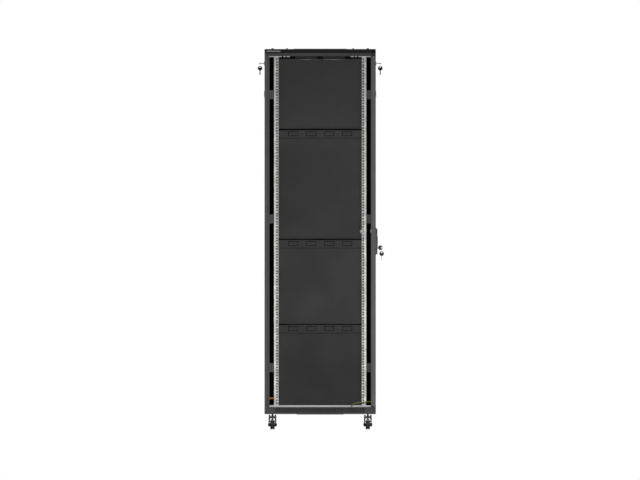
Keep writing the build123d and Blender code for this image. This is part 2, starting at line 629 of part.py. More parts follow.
for corner, side, end in corners:
    x, y = side * CASTER_X, end * CASTER_Y
    axle_y = y - end * TRAIL
    with BuildPart() as fork:
        crown_y = (y - CROWN_HALF, y + CROWN_HALF)
        block((x - FORK_WIDTH / 2, x + FORK_WIDTH / 2), crown_y, (crown_foot, CROWN_TOP))
        for hand in (-1, 1):
            outside = x + hand * FORK_WIDTH / 2
            with BuildSketch(Plane.YZ.offset(min(outside, outside - hand * FORK_SHEET))) as leg:
                with BuildLine():
                    Polyline(
                        (y + end * CROWN_HALF, CROWN_TOP),
                        (y - end * CROWN_HALF, CROWN_TOP),
                        (axle_y - end * LEG_HALF * 2, AXLE_Z),
                        (axle_y - end * LEG_HALF, AXLE_Z - LEG_BELOW),
                        (axle_y + end * LEG_HALF, AXLE_Z - LEG_BELOW),
                        (y + end * CROWN_HALF, AXLE_Z + LEG_RISE),
                        close=True,
                    )
                make_face()
            extrude(leg.sketch, amount=FORK_SHEET)
        rod("X", (axle_y, AXLE_Z), AXLE_R, (x - FORK_WIDTH / 2, x + FORK_WIDTH / 2))
        for hand in (-1, 1):
            cheek = x + hand * FORK_WIDTH / 2
            rod("X", (axle_y, AXLE_Z), AXLE_NUT_R, (cheek, cheek + hand * AXLE_NUT_TALL))
        rod("Z", (x, y), STEM_R + RUNNING, (crown_foot - CUT, CROWN_TOP + CUT), mode=Mode.SUBTRACT)
        if end < 0:
            pivot = (y - PEDAL_OUT, PEDAL_Z)
            rod("X", pivot, PEDAL_PIN_R + RUNNING, (x - FORK_WIDTH, x + FORK_WIDTH), mode=Mode.SUBTRACT)
    save(fork.part, f"caster_fork_{corner}")

    with BuildPart() as wheel:
        rod("X", (axle_y, AXLE_Z), WHEEL_R, (x - WHEEL_WIDTH / 2, x + WHEEL_WIDTH / 2))
        fillet(wheel.edges().filter_by(GeomType.CIRCLE), radius=WHEEL_ROUND)
        inner = FORK_WIDTH / 2 - FORK_SHEET - LOOSE
        rod("X", (axle_y, AXLE_Z), WHEEL_HUB_R, (x - inner, x + inner))
        bore = (x - inner - CUT, x + inner + CUT)
        rod("X", (axle_y, AXLE_Z), AXLE_R + RUNNING, bore, mode=Mode.SUBTRACT)
    save(wheel.part, f"wheel_{corner}")

    if end < 0:
        with BuildPart() as pedal:
            pivot = (y - PEDAL_OUT, PEDAL_Z)
            rod("X", pivot, PEDAL_PIN_R, (x - FORK_WIDTH / 2, x + FORK_WIDTH / 2))
            pedal_tip = y - PEDAL_OUT - PEDAL_LONG
            rod("Y", (x, PEDAL_Z), PEDAL_R, (pedal_tip, y - PEDAL_OUT + PEDAL_BACK))
            block(
                (x - PEDAL_TONGUE[0] / 2, x + PEDAL_TONGUE[0] / 2),
                (pedal_tip + TONGUE_BACK, pedal_tip + TONGUE_BACK + PEDAL_TONGUE[1]),
                (PEDAL_Z - PEDAL_TONGUE[2], PEDAL_Z),
            )
        save(pedal.part, f"brake_pedal_{corner}")

# ================================================================ doors
# The front door stands open at a right angle, so its width runs along Y and its outer face looks
# along +X. The rear door is closed.
front_face = Plane(
    origin=(HALF_WIDTH, OPEN_FAR + HANDLE_INSET, HANDLE_HEIGHT), x_dir=(0, 1, 0), z_dir=(1, 0, 0)
)
rear_face = Plane(
    origin=(DOOR_HALF - HANDLE_INSET, HALF_DEPTH, HANDLE_HEIGHT),
    x_dir=(-1, 0, 0),
    z_dir=(0, 1, 0),
)
front_handle_y = front_face.origin.Y
lead_end = LEAD_POINTS[-1]
door_skins = (
    (DOOR_FOOT - CUT, DOOR_FOOT + DOOR_SHEET + CUT),
    (DOOR_TOP - DOOR_SHEET - CUT, DOOR_TOP + CUT),
)

with BuildPart() as front_door_frame:
    block((OPEN_IN, HALF_WIDTH), (OPEN_FAR, OPEN_NEAR), (DOOR_FOOT, DOOR_TOP))
    block(
        (OPEN_IN + DOOR_SHEET, HALF_WIDTH - DOOR_SHEET),
        (OPEN_FAR + DOOR_SHEET, OPEN_NEAR - DOOR_SHEET),
        (DOOR_FOOT + DOOR_SHEET, DOOR_TOP - DOOR_SHEET),
        mode=Mode.SUBTRACT,
    )
    block(
        (OPEN_IN - CUT, OPEN_IN + DOOR_SHEET + CUT),
        (OPEN_FAR + DOOR_LIP, OPEN_NEAR - DOOR_LIP),
        (DOOR_FOOT + DOOR_LIP, DOOR_TOP - DOOR_LIP),
        mode=Mode.SUBTRACT,
    )
    block(
        (HALF_WIDTH - DOOR_SHEET - CUT, HALF_WIDTH + CUT),
        (OPEN_FAR + DOOR_STILE, OPEN_NEAR - DOOR_STILE),
        (DOOR_FOOT + DOOR_BORDER, DOOR_TOP - DOOR_BORDER),
        mode=Mode.SUBTRACT,
    )
    for skin in door_skins:
        rod("Z", (HINGE_X, -HINGE_Y), PIN_R + RUNNING, skin, mode=Mode.SUBTRACT)
    hub_hole = (HALF_WIDTH - DOOR_SHEET - CUT, HALF_WIDTH + CUT)
    rod("X", (front_handle_y, HANDLE_HEIGHT), HUB_R + RUNNING, hub_hole, mode=Mode.SUBTRACT)
    stud_x = (lead_end[0] + LEAD_R, HALF_WIDTH - DOOR_SHEET)
    rod("X", (lead_end[1], lead_end[2]), STUD_R, stud_x)
save(front_door_frame.part, "front_door_frame")

pane_y = (OPEN_FAR + DOOR_STILE - GLASS_OVERLAP, OPEN_NEAR - DOOR_STILE + GLASS_OVERLAP)
pane_z = (DOOR_FOOT + DOOR_BORDER - GLASS_OVERLAP, DOOR_TOP - DOOR_BORDER + GLASS_OVERLAP)
seal_x = HALF_WIDTH - DOOR_SHEET - SEAL_THICKNESS
with BuildPart() as front_door_seal:
    block((seal_x, seal_x + SEAL_THICKNESS), pane_y, pane_z)
    block(
        (seal_x - CUT, seal_x + SEAL_THICKNESS + CUT),
        (pane_y[0] + GLASS_OVERLAP, pane_y[1] - GLASS_OVERLAP),
        (pane_z[0] + GLASS_OVERLAP, pane_z[1] - GLASS_OVERLAP),
        mode=Mode.SUBTRACT,
    )
save(front_door_seal.part, "front_door_seal")

with BuildPart() as front_door_glass:
    block((seal_x - GLASS_THICKNESS, seal_x), pane_y, pane_z)
save(front_door_glass.part, "front_door_glass")

with BuildPart() as rear_door:
    door_x = (-DOOR_HALF, DOOR_HALF)
    door_in = HALF_DEPTH - DOOR_THICKNESS
    block(door_x, (door_in, HALF_DEPTH), (DOOR_FOOT, DOOR_TOP))
    block(
        (door_x[0] + DOOR_SHEET, door_x[1] - DOOR_SHEET),
        (door_in + DOOR_SHEET, HALF_DEPTH - DOOR_SHEET),
        (DOOR_FOOT + DOOR_SHEET, DOOR_TOP - DOOR_SHEET),
        mode=Mode.SUBTRACT,
    )
    block(
        (door_x[0] + DOOR_LIP, door_x[1] - DOOR_LIP),
        (door_in - CUT, door_in + DOOR_SHEET + CUT),
        (DOOR_FOOT + DOOR_LIP, DOOR_TOP - DOOR_LIP),
        mode=Mode.SUBTRACT,
    )
    for skin in door_skins:
        rod("Z", (-HINGE_X, HINGE_Y), PIN_R + RUNNING, skin, mode=Mode.SUBTRACT)
    hub_hole = (HALF_DEPTH - DOOR_SHEET - CUT, HALF_DEPTH + CUT)
    hub_at = (DOOR_HALF - HANDLE_INSET, HANDLE_HEIGHT)
    rod("Y", hub_at, HUB_R + RUNNING, hub_hole, mode=Mode.SUBTRACT)
save(rear_door.part, "rear_door")

with BuildPart() as rear_door_stiffeners:
    back = HALF_DEPTH - DOOR_SHEET
    hat_y = (back - STIFFENER_DEEP, back)
    for height in STIFFENER_HEIGHTS:
        low, high = height - STIFFENER_TALL / 2, height + STIFFENER_TALL / 2
        hat_x = DOOR_HALF - DOOR_SHEET
        block((-hat_x, hat_x), hat_y, (low, high))
        block(
            (-hat_x, hat_x),
            (hat_y[0] + DOOR_SHEET, back),
            (low + DOOR_SHEET, high - DOOR_SHEET),
            mode=Mode.SUBTRACT,
        )
        with BuildSketch(Plane.XZ.offset(-hat_y[0])) as knockouts:
            with Locations((0, height)):
                with GridLocations(KNOCKOUT_PITCH, 1, 4, 1):
                    Rectangle(*KNOCKOUT)
        extrude(knockouts.sketch, amount=KNOCKOUT_SUNK, both=True, mode=Mode.SUBTRACT)
save(rear_door_stiffeners.part, "rear_door_stiffeners")

# ================================================================ swing handles
# Each is drawn on its door's outer face, at the turning axis: x towards the hinges, y up, z outwards.
lever_foot = HANDLE_BASE[2] + LOOSE
lever_middle = lever_foot + LEVER_THICKNESS / 2
cam_top = -DOOR_THICKNESS - CAM_GAP
for door, face in (("front", front_face), ("rear", rear_face)):
    with BuildPart() as handle_base:
        with BuildSketch(face):
            with Locations((0, -HANDLE_DROP)):
                RectangleRounded(HANDLE_BASE[0], HANDLE_BASE[1], BASE_ROUND)
            Circle(HUB_R + RUNNING, mode=Mode.SUBTRACT)
        extrude(amount=HANDLE_BASE[2])
    save(handle_base.part, f"{door}_handle_base")

    # The lift pin lies along the face, through the hub's head and both cheeks of the lever.
    across_face = Plane(origin=face.origin, x_dir=face.z_dir, z_dir=face.x_dir)
    pin_at = (lever_middle, -LIFT_PIN_UP)
    with BuildPart() as hub:
        with BuildSketch(face.offset(cam_top - CAM_THICKNESS)):
            Circle(HUB_R)
        extrude(amount=CAM_THICKNESS - cam_top + lever_foot)
        with BuildSketch(face.offset(cam_top - CAM_THICKNESS)):
            Circle(CAM_R)
            with Locations((CAM_REACH - CAM_R, 0)):
                Circle(CAM_R)
            with Locations(((CAM_REACH - CAM_R) / 2, 0)):
                Rectangle(CAM_REACH - CAM_R, 2 * CAM_R)
        extrude(amount=CAM_THICKNESS)
        with BuildSketch(face.offset(lever_foot)):
            with Locations((0, (LIFT_PIN_UP + HEAD_ABOVE_PIN - HUB_HEAD_DROP) / 2)):
                Rectangle(HUB_HEAD_WIDTH, LIFT_PIN_UP + HEAD_ABOVE_PIN + HUB_HEAD_DROP)
        extrude(amount=HUB_HEAD)
        with BuildSketch(across_face):
            with Locations(pin_at):
                Circle(LIFT_PIN_R)
        extrude(amount=LEVER_WIDTH / 2 - LOOSE, both=True)
    save(hub.part, f"{door}_handle_hub")

    with BuildPart() as lever:
        with BuildSketch(face.offset(lever_foot)):
            with Locations((0, (LIFT_PIN_UP - LEVER_REACH) / 2)):
                Rectangle(LEVER_WIDTH, LEVER_REACH + LIFT_PIN_UP)
        extrude(amount=LEVER_THICKNESS)
        tip = lever.edges().filter_by(Axis(face.origin, face.z_dir)).sort_by(Axis.Z)[:2]
        chamfer(tip, length=LEVER_TIP)
        with BuildSketch(across_face):
            with Locations(pin_at):
                Circle(LEVER_THICKNESS / 2)
        extrude(amount=LEVER_WIDTH / 2, both=True)
        slot_top = LIFT_PIN_UP + LEVER_THICKNESS
        slot_foot = -HUB_HEAD_DROP - SLOT_ROOM
        with BuildSketch(face.offset(lever_foot - CUT)):
            with Locations((0, (slot_top + slot_foot) / 2)):
                Rectangle(HUB_HEAD_WIDTH + 2 * LOOSE, slot_top - slot_foot)
        extrude(amount=LEVER_THICKNESS + 2 * CUT, mode=Mode.SUBTRACT)
        with BuildSketch(across_face):
            with Locations(pin_at):
                Circle(LIFT_PIN_R + RUNNING)
        extrude(amount=LEVER_WIDTH, both=True, mode=Mode.SUBTRACT)
        if door == "front":
            with BuildSketch(face.offset(lever_foot - CUT)):
                with Locations((0, -LEVER_LOCK_DROP)):
                    Circle(PLUG_R + RUNNING)
            extrude(amount=LEVER_THICKNESS + 2 * CUT, mode=Mode.SUBTRACT)
    save(lever.part, f"{door}_handle_lever")


# ================================================================ keys and side locks
def key_in_lock(lock, plug_span, head_out, cam_span=None):
    """A turning lock plug with its key: lock's z points out of the lock, its x across the key."""
    edge_on = Plane(origin=lock.origin, x_dir=lock.z_dir, z_dir=lock.x_dir)
    with BuildPart() as key:
        with BuildSketch(lock.offset(plug_span[0])):
            Circle(PLUG_R)
        extrude(amount=plug_span[1] - plug_span[0])
        with BuildSketch(edge_on):
            with Locations((head_out, 0)):
                Circle(KEY_R)
            with Locations(((plug_span[1] + head_out) / 2, 0)):
                Rectangle(head_out - plug_span[1], KEY_NECK)
            with Locations((head_out + KEY_HOLE_OUT, 0)):
                Circle(KEY_HOLE_R, mode=Mode.SUBTRACT)
        extrude(amount=KEY_SHEET / 2, both=True)
        if cam_span:
            with BuildSketch(lock.offset(cam_span[0])):
                Circle(PLUG_R)
                with Locations((SIDE_CAM_REACH / 2, 0)):
                    Rectangle(SIDE_CAM_REACH, 2 * PLUG_R)
            extrude(amount=cam_span[1] - cam_span[0])
    return key.part


def hanging_key(ring_middle):
    """A spare key hanging from its split ring, which lies across X."""
    ring_plane = Plane(origin=ring_middle, x_dir=(0, 1, 0), z_dir=(1, 0, 0))
    hole_z = ring_middle[2] - RING_R + RING_WIRE_R + LOOSE - KEY_HOLE_R
    head_z = hole_z - KEY_HOLE_OUT
    with BuildPart() as spare:
        with Locations(ring_plane.location):
            Torus(RING_R, RING_WIRE_R)
        with BuildSketch(Plane.XZ.offset(-ring_middle[1])):
            with Locations((ring_middle[0], head_z)):
                Circle(KEY_R)
            with Locations((ring_middle[0], head_z - (KEY_R + KEY_SHANK[1]) / 2)):
                Rectangle(KEY_SHANK[0], KEY_R + KEY_SHANK[1])
            with Locations((ring_middle[0], hole_z)):
                Circle(KEY_HOLE_R, mode=Mode.SUBTRACT)
        extrude(amount=KEY_SHEET / 2, both=True)
    return spare.part


lever_lock = Plane(
    origin=front_face.origin - front_face.y_dir * LEVER_LOCK_DROP, x_dir=(0, 1, 0), z_dir=(1, 0, 0)
)
plug_span = (lever_foot + LOOSE, lever_foot + LEVER_THICKNESS + PLUG_PROUD)
save(key_in_lock(lever_lock, plug_span, FRONT_KEY_OUT), "front_key")
ring_drop = KEY_HOLE_R - RING_WIRE_R - LOOSE + RING_R
front_ring = lever_lock.origin + Vector(FRONT_KEY_OUT + KEY_HOLE_OUT, 0, -ring_drop)
save(hanging_key(tuple(front_ring)), "front_spare_key")

panel_foot, panel_top = BEAM_HEIGHT + LOOSE, TOP_BEAM_FOOT - LOOSE
for side_name, side in (("left", -1), ("right", 1)):
    outer = side * HALF_WIDTH
    inner = side * (COLUMN_OUT + LOOSE)
    behind_sheet = outer - side * (PANEL_SHEET + LOOSE)
    with BuildPart() as side_panel:
        block((inner, outer), (-COLUMN_FRONT, COLUMN_FRONT), (panel_foot, panel_top))
        block(
            (inner - side * CUT, outer - side * PANEL_SHEET),
            (-COLUMN_FRONT + PANEL_SHEET, COLUMN_FRONT - PANEL_SHEET),
            (panel_foot + PANEL_SHEET, panel_top - PANEL_SHEET),
            mode=Mode.SUBTRACT,
        )
        through = (outer - side * (PANEL_SHEET + CUT), outer + side * CUT)
        rod("X", (0, SIDE_LOCK_HEIGHT), BARREL_R + RUNNING, through, mode=Mode.SUBTRACT)
        slot_y = LATCH_NECK[0] / 2 + LOOSE
        slot_z = (
            LATCH_HEIGHT - LATCH_NECK[1] / 2 - LATCH_TRAVEL - LOOSE,
            LATCH_HEIGHT + LATCH_NECK[1] / 2 + LOOSE,
        )
        block(through, (-slot_y, slot_y), slot_z, mode=Mode.SUBTRACT)
    save(side_panel.part, f"{side_name}_side_panel")

    with BuildPart() as barrel:
        lock_at = (0, SIDE_LOCK_HEIGHT)
        rod("X", lock_at, BARREL_R, (outer - side * BARREL_DEEP, outer))
        rod("X", lock_at, BARREL_FLANGE_R, (outer, outer + side * BARREL_FLANGE))
        bore = (outer - side * (BARREL_DEEP + CUT), outer + side * (BARREL_FLANGE + CUT))
        rod("X", lock_at, PLUG_R + RUNNING, bore, mode=Mode.SUBTRACT)
    save(barrel.part, f"{side_name}_lock_barrel")

    panel_lock = Plane(origin=(outer, 0, SIDE_LOCK_HEIGHT), x_dir=(0, 0, 1), z_dir=(side, 0, 0))
    cam_start = -BARREL_DEEP - LOOSE - CAM_THICKNESS
    panel_key = key_in_lock(
        panel_lock,
        (cam_start, BARREL_FLANGE + PLUG_PROUD),
        SIDE_KEY_OUT,
        (cam_start, cam_start + CAM_THICKNESS),
    )
    save(panel_key, f"{side_name}_key")
    ring_x = outer + side * (SIDE_KEY_OUT + KEY_HOLE_OUT)
    side_ring = (ring_x, SIDE_RING_SHIFT, SIDE_LOCK_HEIGHT - SIDE_RING_DROP)
    save(hanging_key(side_ring), f"{side_name}_spare_key")

    with BuildPart() as latch:
        half_y, half_z = LATCH_WIDTH / 2, LATCH_TALL / 2
        proud = (outer + side * LOOSE, outer + side * LATCH_PROUD)
        block(proud, (-half_y, half_y), (LATCH_HEIGHT - half_z, LATCH_HEIGHT + half_z))
        neck_y, neck_z = LATCH_NECK[0] / 2, LATCH_NECK[1] / 2
        neck_x = (behind_sheet, outer + side * LOOSE)
        block(neck_x, (-neck_y, neck_y), (LATCH_HEIGHT - neck_z, LATCH_HEIGHT + neck_z))
        tongue_x = (behind_sheet - side * FRAME_SHEET, behind_sheet)
        block(tongue_x, (-half_y / 2, half_y / 2), (LATCH_HEIGHT - half_z, LATCH_HEIGHT + LATCH_TALL))
    save(latch.part, f"{side_name}_latch")

# ================================================================ earth lead
# From the stud on the base beam to the stud on the open door, with room to follow the door.
bend_radii = []
for before, corner, after in zip(LEAD_POINTS, LEAD_POINTS[1:], LEAD_POINTS[2:]):
    arrive = Vector(corner) - Vector(before)
    leave = Vector(after) - Vector(corner)
    turn = radians(arrive.get_angle(leave))
    bend_radii.append(BEND_SHARE * min(arrive.length, leave.length) / tan(turn / 2))
print("earth lead bends, mm:", [round(radius, 1) for radius in bend_radii])

with BuildPart() as earth_lead:
    with BuildLine() as route:
        FilletPolyline(*LEAD_POINTS, radius=bend_radii)
    lead_path = route.wires()[0]
    with BuildSketch(Plane(origin=lead_path @ 0, z_dir=lead_path % 0)):
        Circle(LEAD_R)
    sweep(path=lead_path)
print("earth lead length, mm:", round(lead_path.length, 1))
print("earth lead volume over section times length:", round(
    earth_lead.part.volume / (lead_path.length * pi * LEAD_R**2), 4
))
save(earth_lead.part, "earth_lead")
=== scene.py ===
# %% [markdown]
# A 42-unit network rack cabinet on casters, with its front door open. The steel frame, the doors
# and the panels come ready-made as the fixed frame; this lesson gives them their finishes and adds
# the small pieces: key bows, wheels, screws, handle grips, foam strips and the earth lead.

# %% Load the frame
import json
import math

import bmesh
import bpy
from mathutils import Matrix, Vector


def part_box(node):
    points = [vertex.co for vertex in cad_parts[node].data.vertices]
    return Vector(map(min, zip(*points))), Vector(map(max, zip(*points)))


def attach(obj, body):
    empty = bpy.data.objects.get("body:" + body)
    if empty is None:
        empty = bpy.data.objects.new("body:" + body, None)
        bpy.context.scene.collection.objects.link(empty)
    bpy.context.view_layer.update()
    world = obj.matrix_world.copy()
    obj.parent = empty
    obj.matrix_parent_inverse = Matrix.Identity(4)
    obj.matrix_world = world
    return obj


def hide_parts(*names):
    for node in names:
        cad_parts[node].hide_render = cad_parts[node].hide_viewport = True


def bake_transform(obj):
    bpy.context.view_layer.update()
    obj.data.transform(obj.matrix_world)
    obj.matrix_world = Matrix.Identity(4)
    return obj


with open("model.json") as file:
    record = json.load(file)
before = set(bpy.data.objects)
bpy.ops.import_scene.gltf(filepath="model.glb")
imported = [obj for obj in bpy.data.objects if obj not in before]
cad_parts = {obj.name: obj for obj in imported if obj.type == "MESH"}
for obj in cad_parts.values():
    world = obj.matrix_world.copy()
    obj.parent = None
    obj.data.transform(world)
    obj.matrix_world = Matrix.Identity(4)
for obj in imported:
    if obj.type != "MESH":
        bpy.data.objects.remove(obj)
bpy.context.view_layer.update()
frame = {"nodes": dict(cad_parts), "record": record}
MM = 0.001
print("nodes in the frame:", len(frame["nodes"]))

# %% [markdown]
# The camera looks square-on at the front from far away, so that nothing narrows with distance. An
# orthographic camera does this exactly. It is level, so the floor is seen on its edge.

# %% Camera
VIEW_WIDTH = 3.4496
VIEW_FROM = (-0.0008, -6.0, 0.9387)
camera_data = bpy.data.cameras.new("camera")
camera_data.type = "ORTHO"
camera_data.ortho_scale = VIEW_WIDTH
camera = bpy.data.objects.new("camera", camera_data)
camera.location = VIEW_FROM
camera.rotation_euler = (math.radians(90), 0, 0)
bpy.context.scene.collection.objects.link(camera)
bpy.context.scene.camera = camera
print("camera sees", VIEW_WIDTH, "m across")

# %% [markdown]
# Colours are written as the hex values a maker's colour card shows. Blender works in linear light,
# so one function turns a hex value into the linear colour that a shader socket takes.

# %% Colour and node helpers
def linear(hex_colour):
    """An sRGB hex string such as "#2a2a2b" as a linear RGBA colour."""
    parts = [int(hex_colour[i : i + 2], 16) / 255 for i in (1, 3, 5)]
    curve = [p / 12.92 if p <= 0.04045 else ((p + 0.055) / 1.055) ** 2.4 for p in parts]
    return (*curve, 1.0)


def add_node(tree, kind, settings=(), links=()):
    """Add one node: settings fill sockets or properties, links join other nodes' outputs to it."""
    node = tree.nodes.new(kind)
    for name, value in dict(settings).items():
        if isinstance(name, str) and hasattr(node, name):
            setattr(node, name, value)
        else:
            node.inputs[name].default_value = value
    for name, output in dict(links).items():
        tree.links.new(output, node.inputs[name])
    return node


def blank_material(name):
    """A material with only its output, and the position on the object to hang patterns on."""
    material = bpy.data.materials.new(name)
    material.use_nodes = True
    tree = material.node_tree
    tree.nodes.clear()
    place = add_node(tree, "ShaderNodeTexCoord").outputs["Object"]
    return material, tree, place


def shade(tree, settings, links):
    """Join a Principled shader with these sockets to the material's output."""
    shader = add_node(tree, "ShaderNodeBsdfPrincipled", settings, links)
    add_node(tree, "ShaderNodeOutputMaterial", links={"Surface": shader.outputs["BSDF"]})


def cells_per_metre(size_mm):
    """A pattern's scale, from the real size of one of its cells in millimetres."""
    return 1000 / size_mm


print("#2a2a2b is", [round(c, 4) for c in linear("#2a2a2b")])

# %% [markdown]
# The cabinet steel is powder coated: a thick paint, sprayed dry and baked, that dries with a fine
# orange-peel grain. The grain is about half a millimetre on the real sheet, and it is drawn a
# little coarser so that it shows. Slow, faint clouds in the colour stand for dust and handling.

# %% Painted steel
def powder_coat(name, dark, light, grain_mm=1.6, roughness=0.5, gloss=0.25, grain_depth=0.00012):
    material, tree, place = blank_material(name)
    clouds = add_node(
        tree, "ShaderNodeTexNoise", {"Scale": cells_per_metre(260), "Detail": 5.0}, {"Vector": place}
    )
    colour = add_node(tree, "ShaderNodeValToRGB", links={"Fac": clouds.outputs["Fac"]})
    colour.color_ramp.elements[0].position = 0.32
    colour.color_ramp.elements[0].color = linear(dark)
    colour.color_ramp.elements[1].position = 0.7
    colour.color_ramp.elements[1].color = linear(light)
    grain = add_node(
        tree, "ShaderNodeTexNoise", {"Scale": cells_per_metre(grain_mm), "Detail": 2.0}, {"Vector": place}
    )
    rough = add_node(
        tree,
        "ShaderNodeMapRange",
        {"From Min": 0.3, "From Max": 0.7, "To Min": roughness - 0.06, "To Max": roughness + 0.08},
        {"Value": clouds.outputs["Fac"]},
    )
    bump = add_node(
        tree, "ShaderNodeBump", {"Strength": 0.5, "Distance": grain_depth}, {"Height": grain.outputs["Fac"]}
    )
    shade(
        tree,
        {"Specular IOR Level": gloss},
        {
            "Base Color": colour.outputs["Color"],
            "Roughness": rough.outputs["Result"],
            "Normal": bump.outputs["Normal"],
        },
    )
    return material


frame_coat = powder_coat("textured_powder_coat_black", "#38383a", "#424244")
panel_coat = powder_coat("fine_powder_coat_black", "#414142", "#4a4a4b", grain_mm=1.2, roughness=0.46)
trim_coat = powder_coat("satin_enamel_black", "#111112", "#171719", grain_mm=3.0, roughness=0.5, gloss=0.1)
print("painted finishes:", frame_coat.name, panel_coat.name, trim_coat.name)

# %% [markdown]
# The rails are hot-dip galvanised: the zinc freezes in flat crystals, the spangle, each with its
# own grey. Voronoi cells give that patchwork. The bright zinc of the small fittings is plated
# instead, so it is even and shinier, with a faint drift in tone.

# %% Bare metals
def spangled_zinc(name, dark, light, spangle_mm=9.0):
    material, tree, place = blank_material(name)
    spangle = add_node(
        tree, "ShaderNodeTexVoronoi", {"Scale": cells_per_metre(spangle_mm)}, {"Vector": place}
    )
    tone = add_node(tree, "ShaderNodeSeparateColor", links={"Color": spangle.outputs["Color"]})
    colour = add_node(tree, "ShaderNodeValToRGB", links={"Fac": tone.outputs["Red"]})
    colour.color_ramp.elements[0].color = linear(dark)
    colour.color_ramp.elements[1].color = linear(light)
    rough = add_node(
        tree, "ShaderNodeMapRange", {"To Min": 0.36, "To Max": 0.55}, {"Value": tone.outputs["Green"]}
    )
    shade(
        tree,
        {"Metallic": 0.55},
        {"Base Color": colour.outputs["Color"], "Roughness": rough.outputs["Result"]},
    )
    return material


def plated_metal(name, dark, light, roughness=0.3, metallic=1.0, patch_mm=40.0):
    material, tree, place = blank_material(name)
    drift = add_node(
        tree, "ShaderNodeTexNoise", {"Scale": cells_per_metre(patch_mm), "Detail": 4.0}, {"Vector": place}
    )
    colour = add_node(tree, "ShaderNodeValToRGB", links={"Fac": drift.outputs["Fac"]})
    colour.color_ramp.elements[0].position = 0.3
    colour.color_ramp.elements[0].color = linear(dark)
    colour.color_ramp.elements[1].position = 0.7
    colour.color_ramp.elements[1].color = linear(light)
    rough = add_node(
        tree,
        "ShaderNodeMapRange",
        {"To Min": roughness - 0.08, "To Max": roughness + 0.12},
        {"Value": drift.outputs["Fac"]},
    )
    shade(
        tree,
        {"Metallic": metallic},
        {"Base Color": colour.outputs["Color"], "Roughness": rough.outputs["Result"]},
    )
    return material


rail_zinc = spangled_zinc("hot_dip_galvanised_steel", "#9d9d98", "#c0c0bb")
bright_zinc = plated_metal("bright_zinc_plate", "#a6a8a8", "#bfc1c1", roughness=0.5, metallic=0.6)
# Zinc made near-white: painted light, so that a hub deep in the cabinet's shade looks as bright as lit
# metal.
zinc_painted_bright = plated_metal("zinc_painted_near_white", "#e8e9e9", "#f7f7f7", roughness=0.5, metallic=0.1)
black_zinc = plated_metal("black_zinc_plate", "#0e0e0e", "#1a1a1b", roughness=0.42, metallic=0.5)
nickel = plated_metal("nickel_plate", "#5b5a57", "#7b7974", roughness=0.3, patch_mm=12.0)
brass = plated_metal("passivated_brass", "#9a5c22", "#c08240", roughness=0.3, patch_mm=12.0)
print("bare metals:", rail_zinc.name, bright_zinc.name, nickel.name, brass.name)

# %% [markdown]
# Handles and fans are moulded in ABS with a spark-eroded grain. Seals are soft EPDM rubber, and
# wheels are hard nylon. One function serves them all: a grain, and a little change of gloss.

# %% Plastics and rubber
def moulded(name, dark, light, grain_mm, roughness, gloss=0.3, depth=0.0001):
    material, tree, place = blank_material(name)
    grain = add_node(
        tree, "ShaderNodeTexNoise", {"Scale": cells_per_metre(grain_mm), "Detail": 3.0}, {"Vector": place}
    )
    wear = add_node(
        tree, "ShaderNodeTexNoise", {"Scale": cells_per_metre(30), "Detail": 4.0}, {"Vector": place}
    )
    colour = add_node(tree, "ShaderNodeValToRGB", links={"Fac": wear.outputs["Fac"]})
    colour.color_ramp.elements[0].color = linear(dark)
    colour.color_ramp.elements[1].color = linear(light)
    bump = add_node(
        tree, "ShaderNodeBump", {"Strength": 0.6, "Distance": depth}, {"Height": grain.outputs["Fac"]}
    )
    rough = add_node(
        tree,
        "ShaderNodeMapRange",
        {"To Min": roughness - 0.07, "To Max": roughness + 0.1},
        {"Value": wear.outputs["Fac"]},
    )
    shade(
        tree,
        {"Specular IOR Level": gloss},
        {
            "Base Color": colour.outputs["Color"],
            "Roughness": rough.outputs["Result"],
            "Normal": bump.outputs["Normal"],
        },
    )
    return material


grained_abs = moulded("grained_black_abs", "#0e0e0f", "#18181a", 1.0, 0.42, gloss=0.2)
nylon = moulded("black_nylon", "#161616", "#232323", 2.0, 0.5)
grey_nylon = moulded("grey_nylon", "#6b6c6e", "#7c7d7f", 2.0, 0.5)
epdm = moulded("epdm_rubber", "#0b0b0c", "#141415", 1.5, 0.75, gloss=0.1)
green_pvc = moulded("green_pvc_sheath", "#4f6f2c", "#5d7f36", 2.0, 0.4)
yellow_pvc = moulded("yellow_pvc_sheath", "#b9b03a", "#c8be4a", 2.0, 0.4)
print("plastics:", grained_abs.name, nylon.name, epdm.name)

# %% [markdown]
# The front door's pane is smoked safety glass, four millimetres thick. A smear of fingerprints
# changes its gloss very slightly, and the tint is on the shader's own colour socket.

# %% Smoked glass
def smoked_glass(name, tint):
    material, tree, place = blank_material(name)
    smear = add_node(
        tree, "ShaderNodeTexNoise", {"Scale": cells_per_metre(90), "Detail": 6.0}, {"Vector": place}
    )
    rough = add_node(
        tree,
        "ShaderNodeMapRange",
        {"From Min": 0.45, "From Max": 0.75, "To Min": 0.01, "To Max": 0.06},
        {"Value": smear.outputs["Fac"]},
    )
    shade(
        tree,
        {"Base Color": linear(tint), "IOR": 1.5, "Transmission Weight": 1.0},
        {"Roughness": rough.outputs["Result"]},
    )
    return material


door_glass = smoked_glass("smoked_safety_glass", "#a3a8a8")
print("glass:", door_glass.name)

# %% [markdown]
# Each node of the frame already says which finish it takes. A short table pairs those names with
# the materials above, and one loop paints every node.

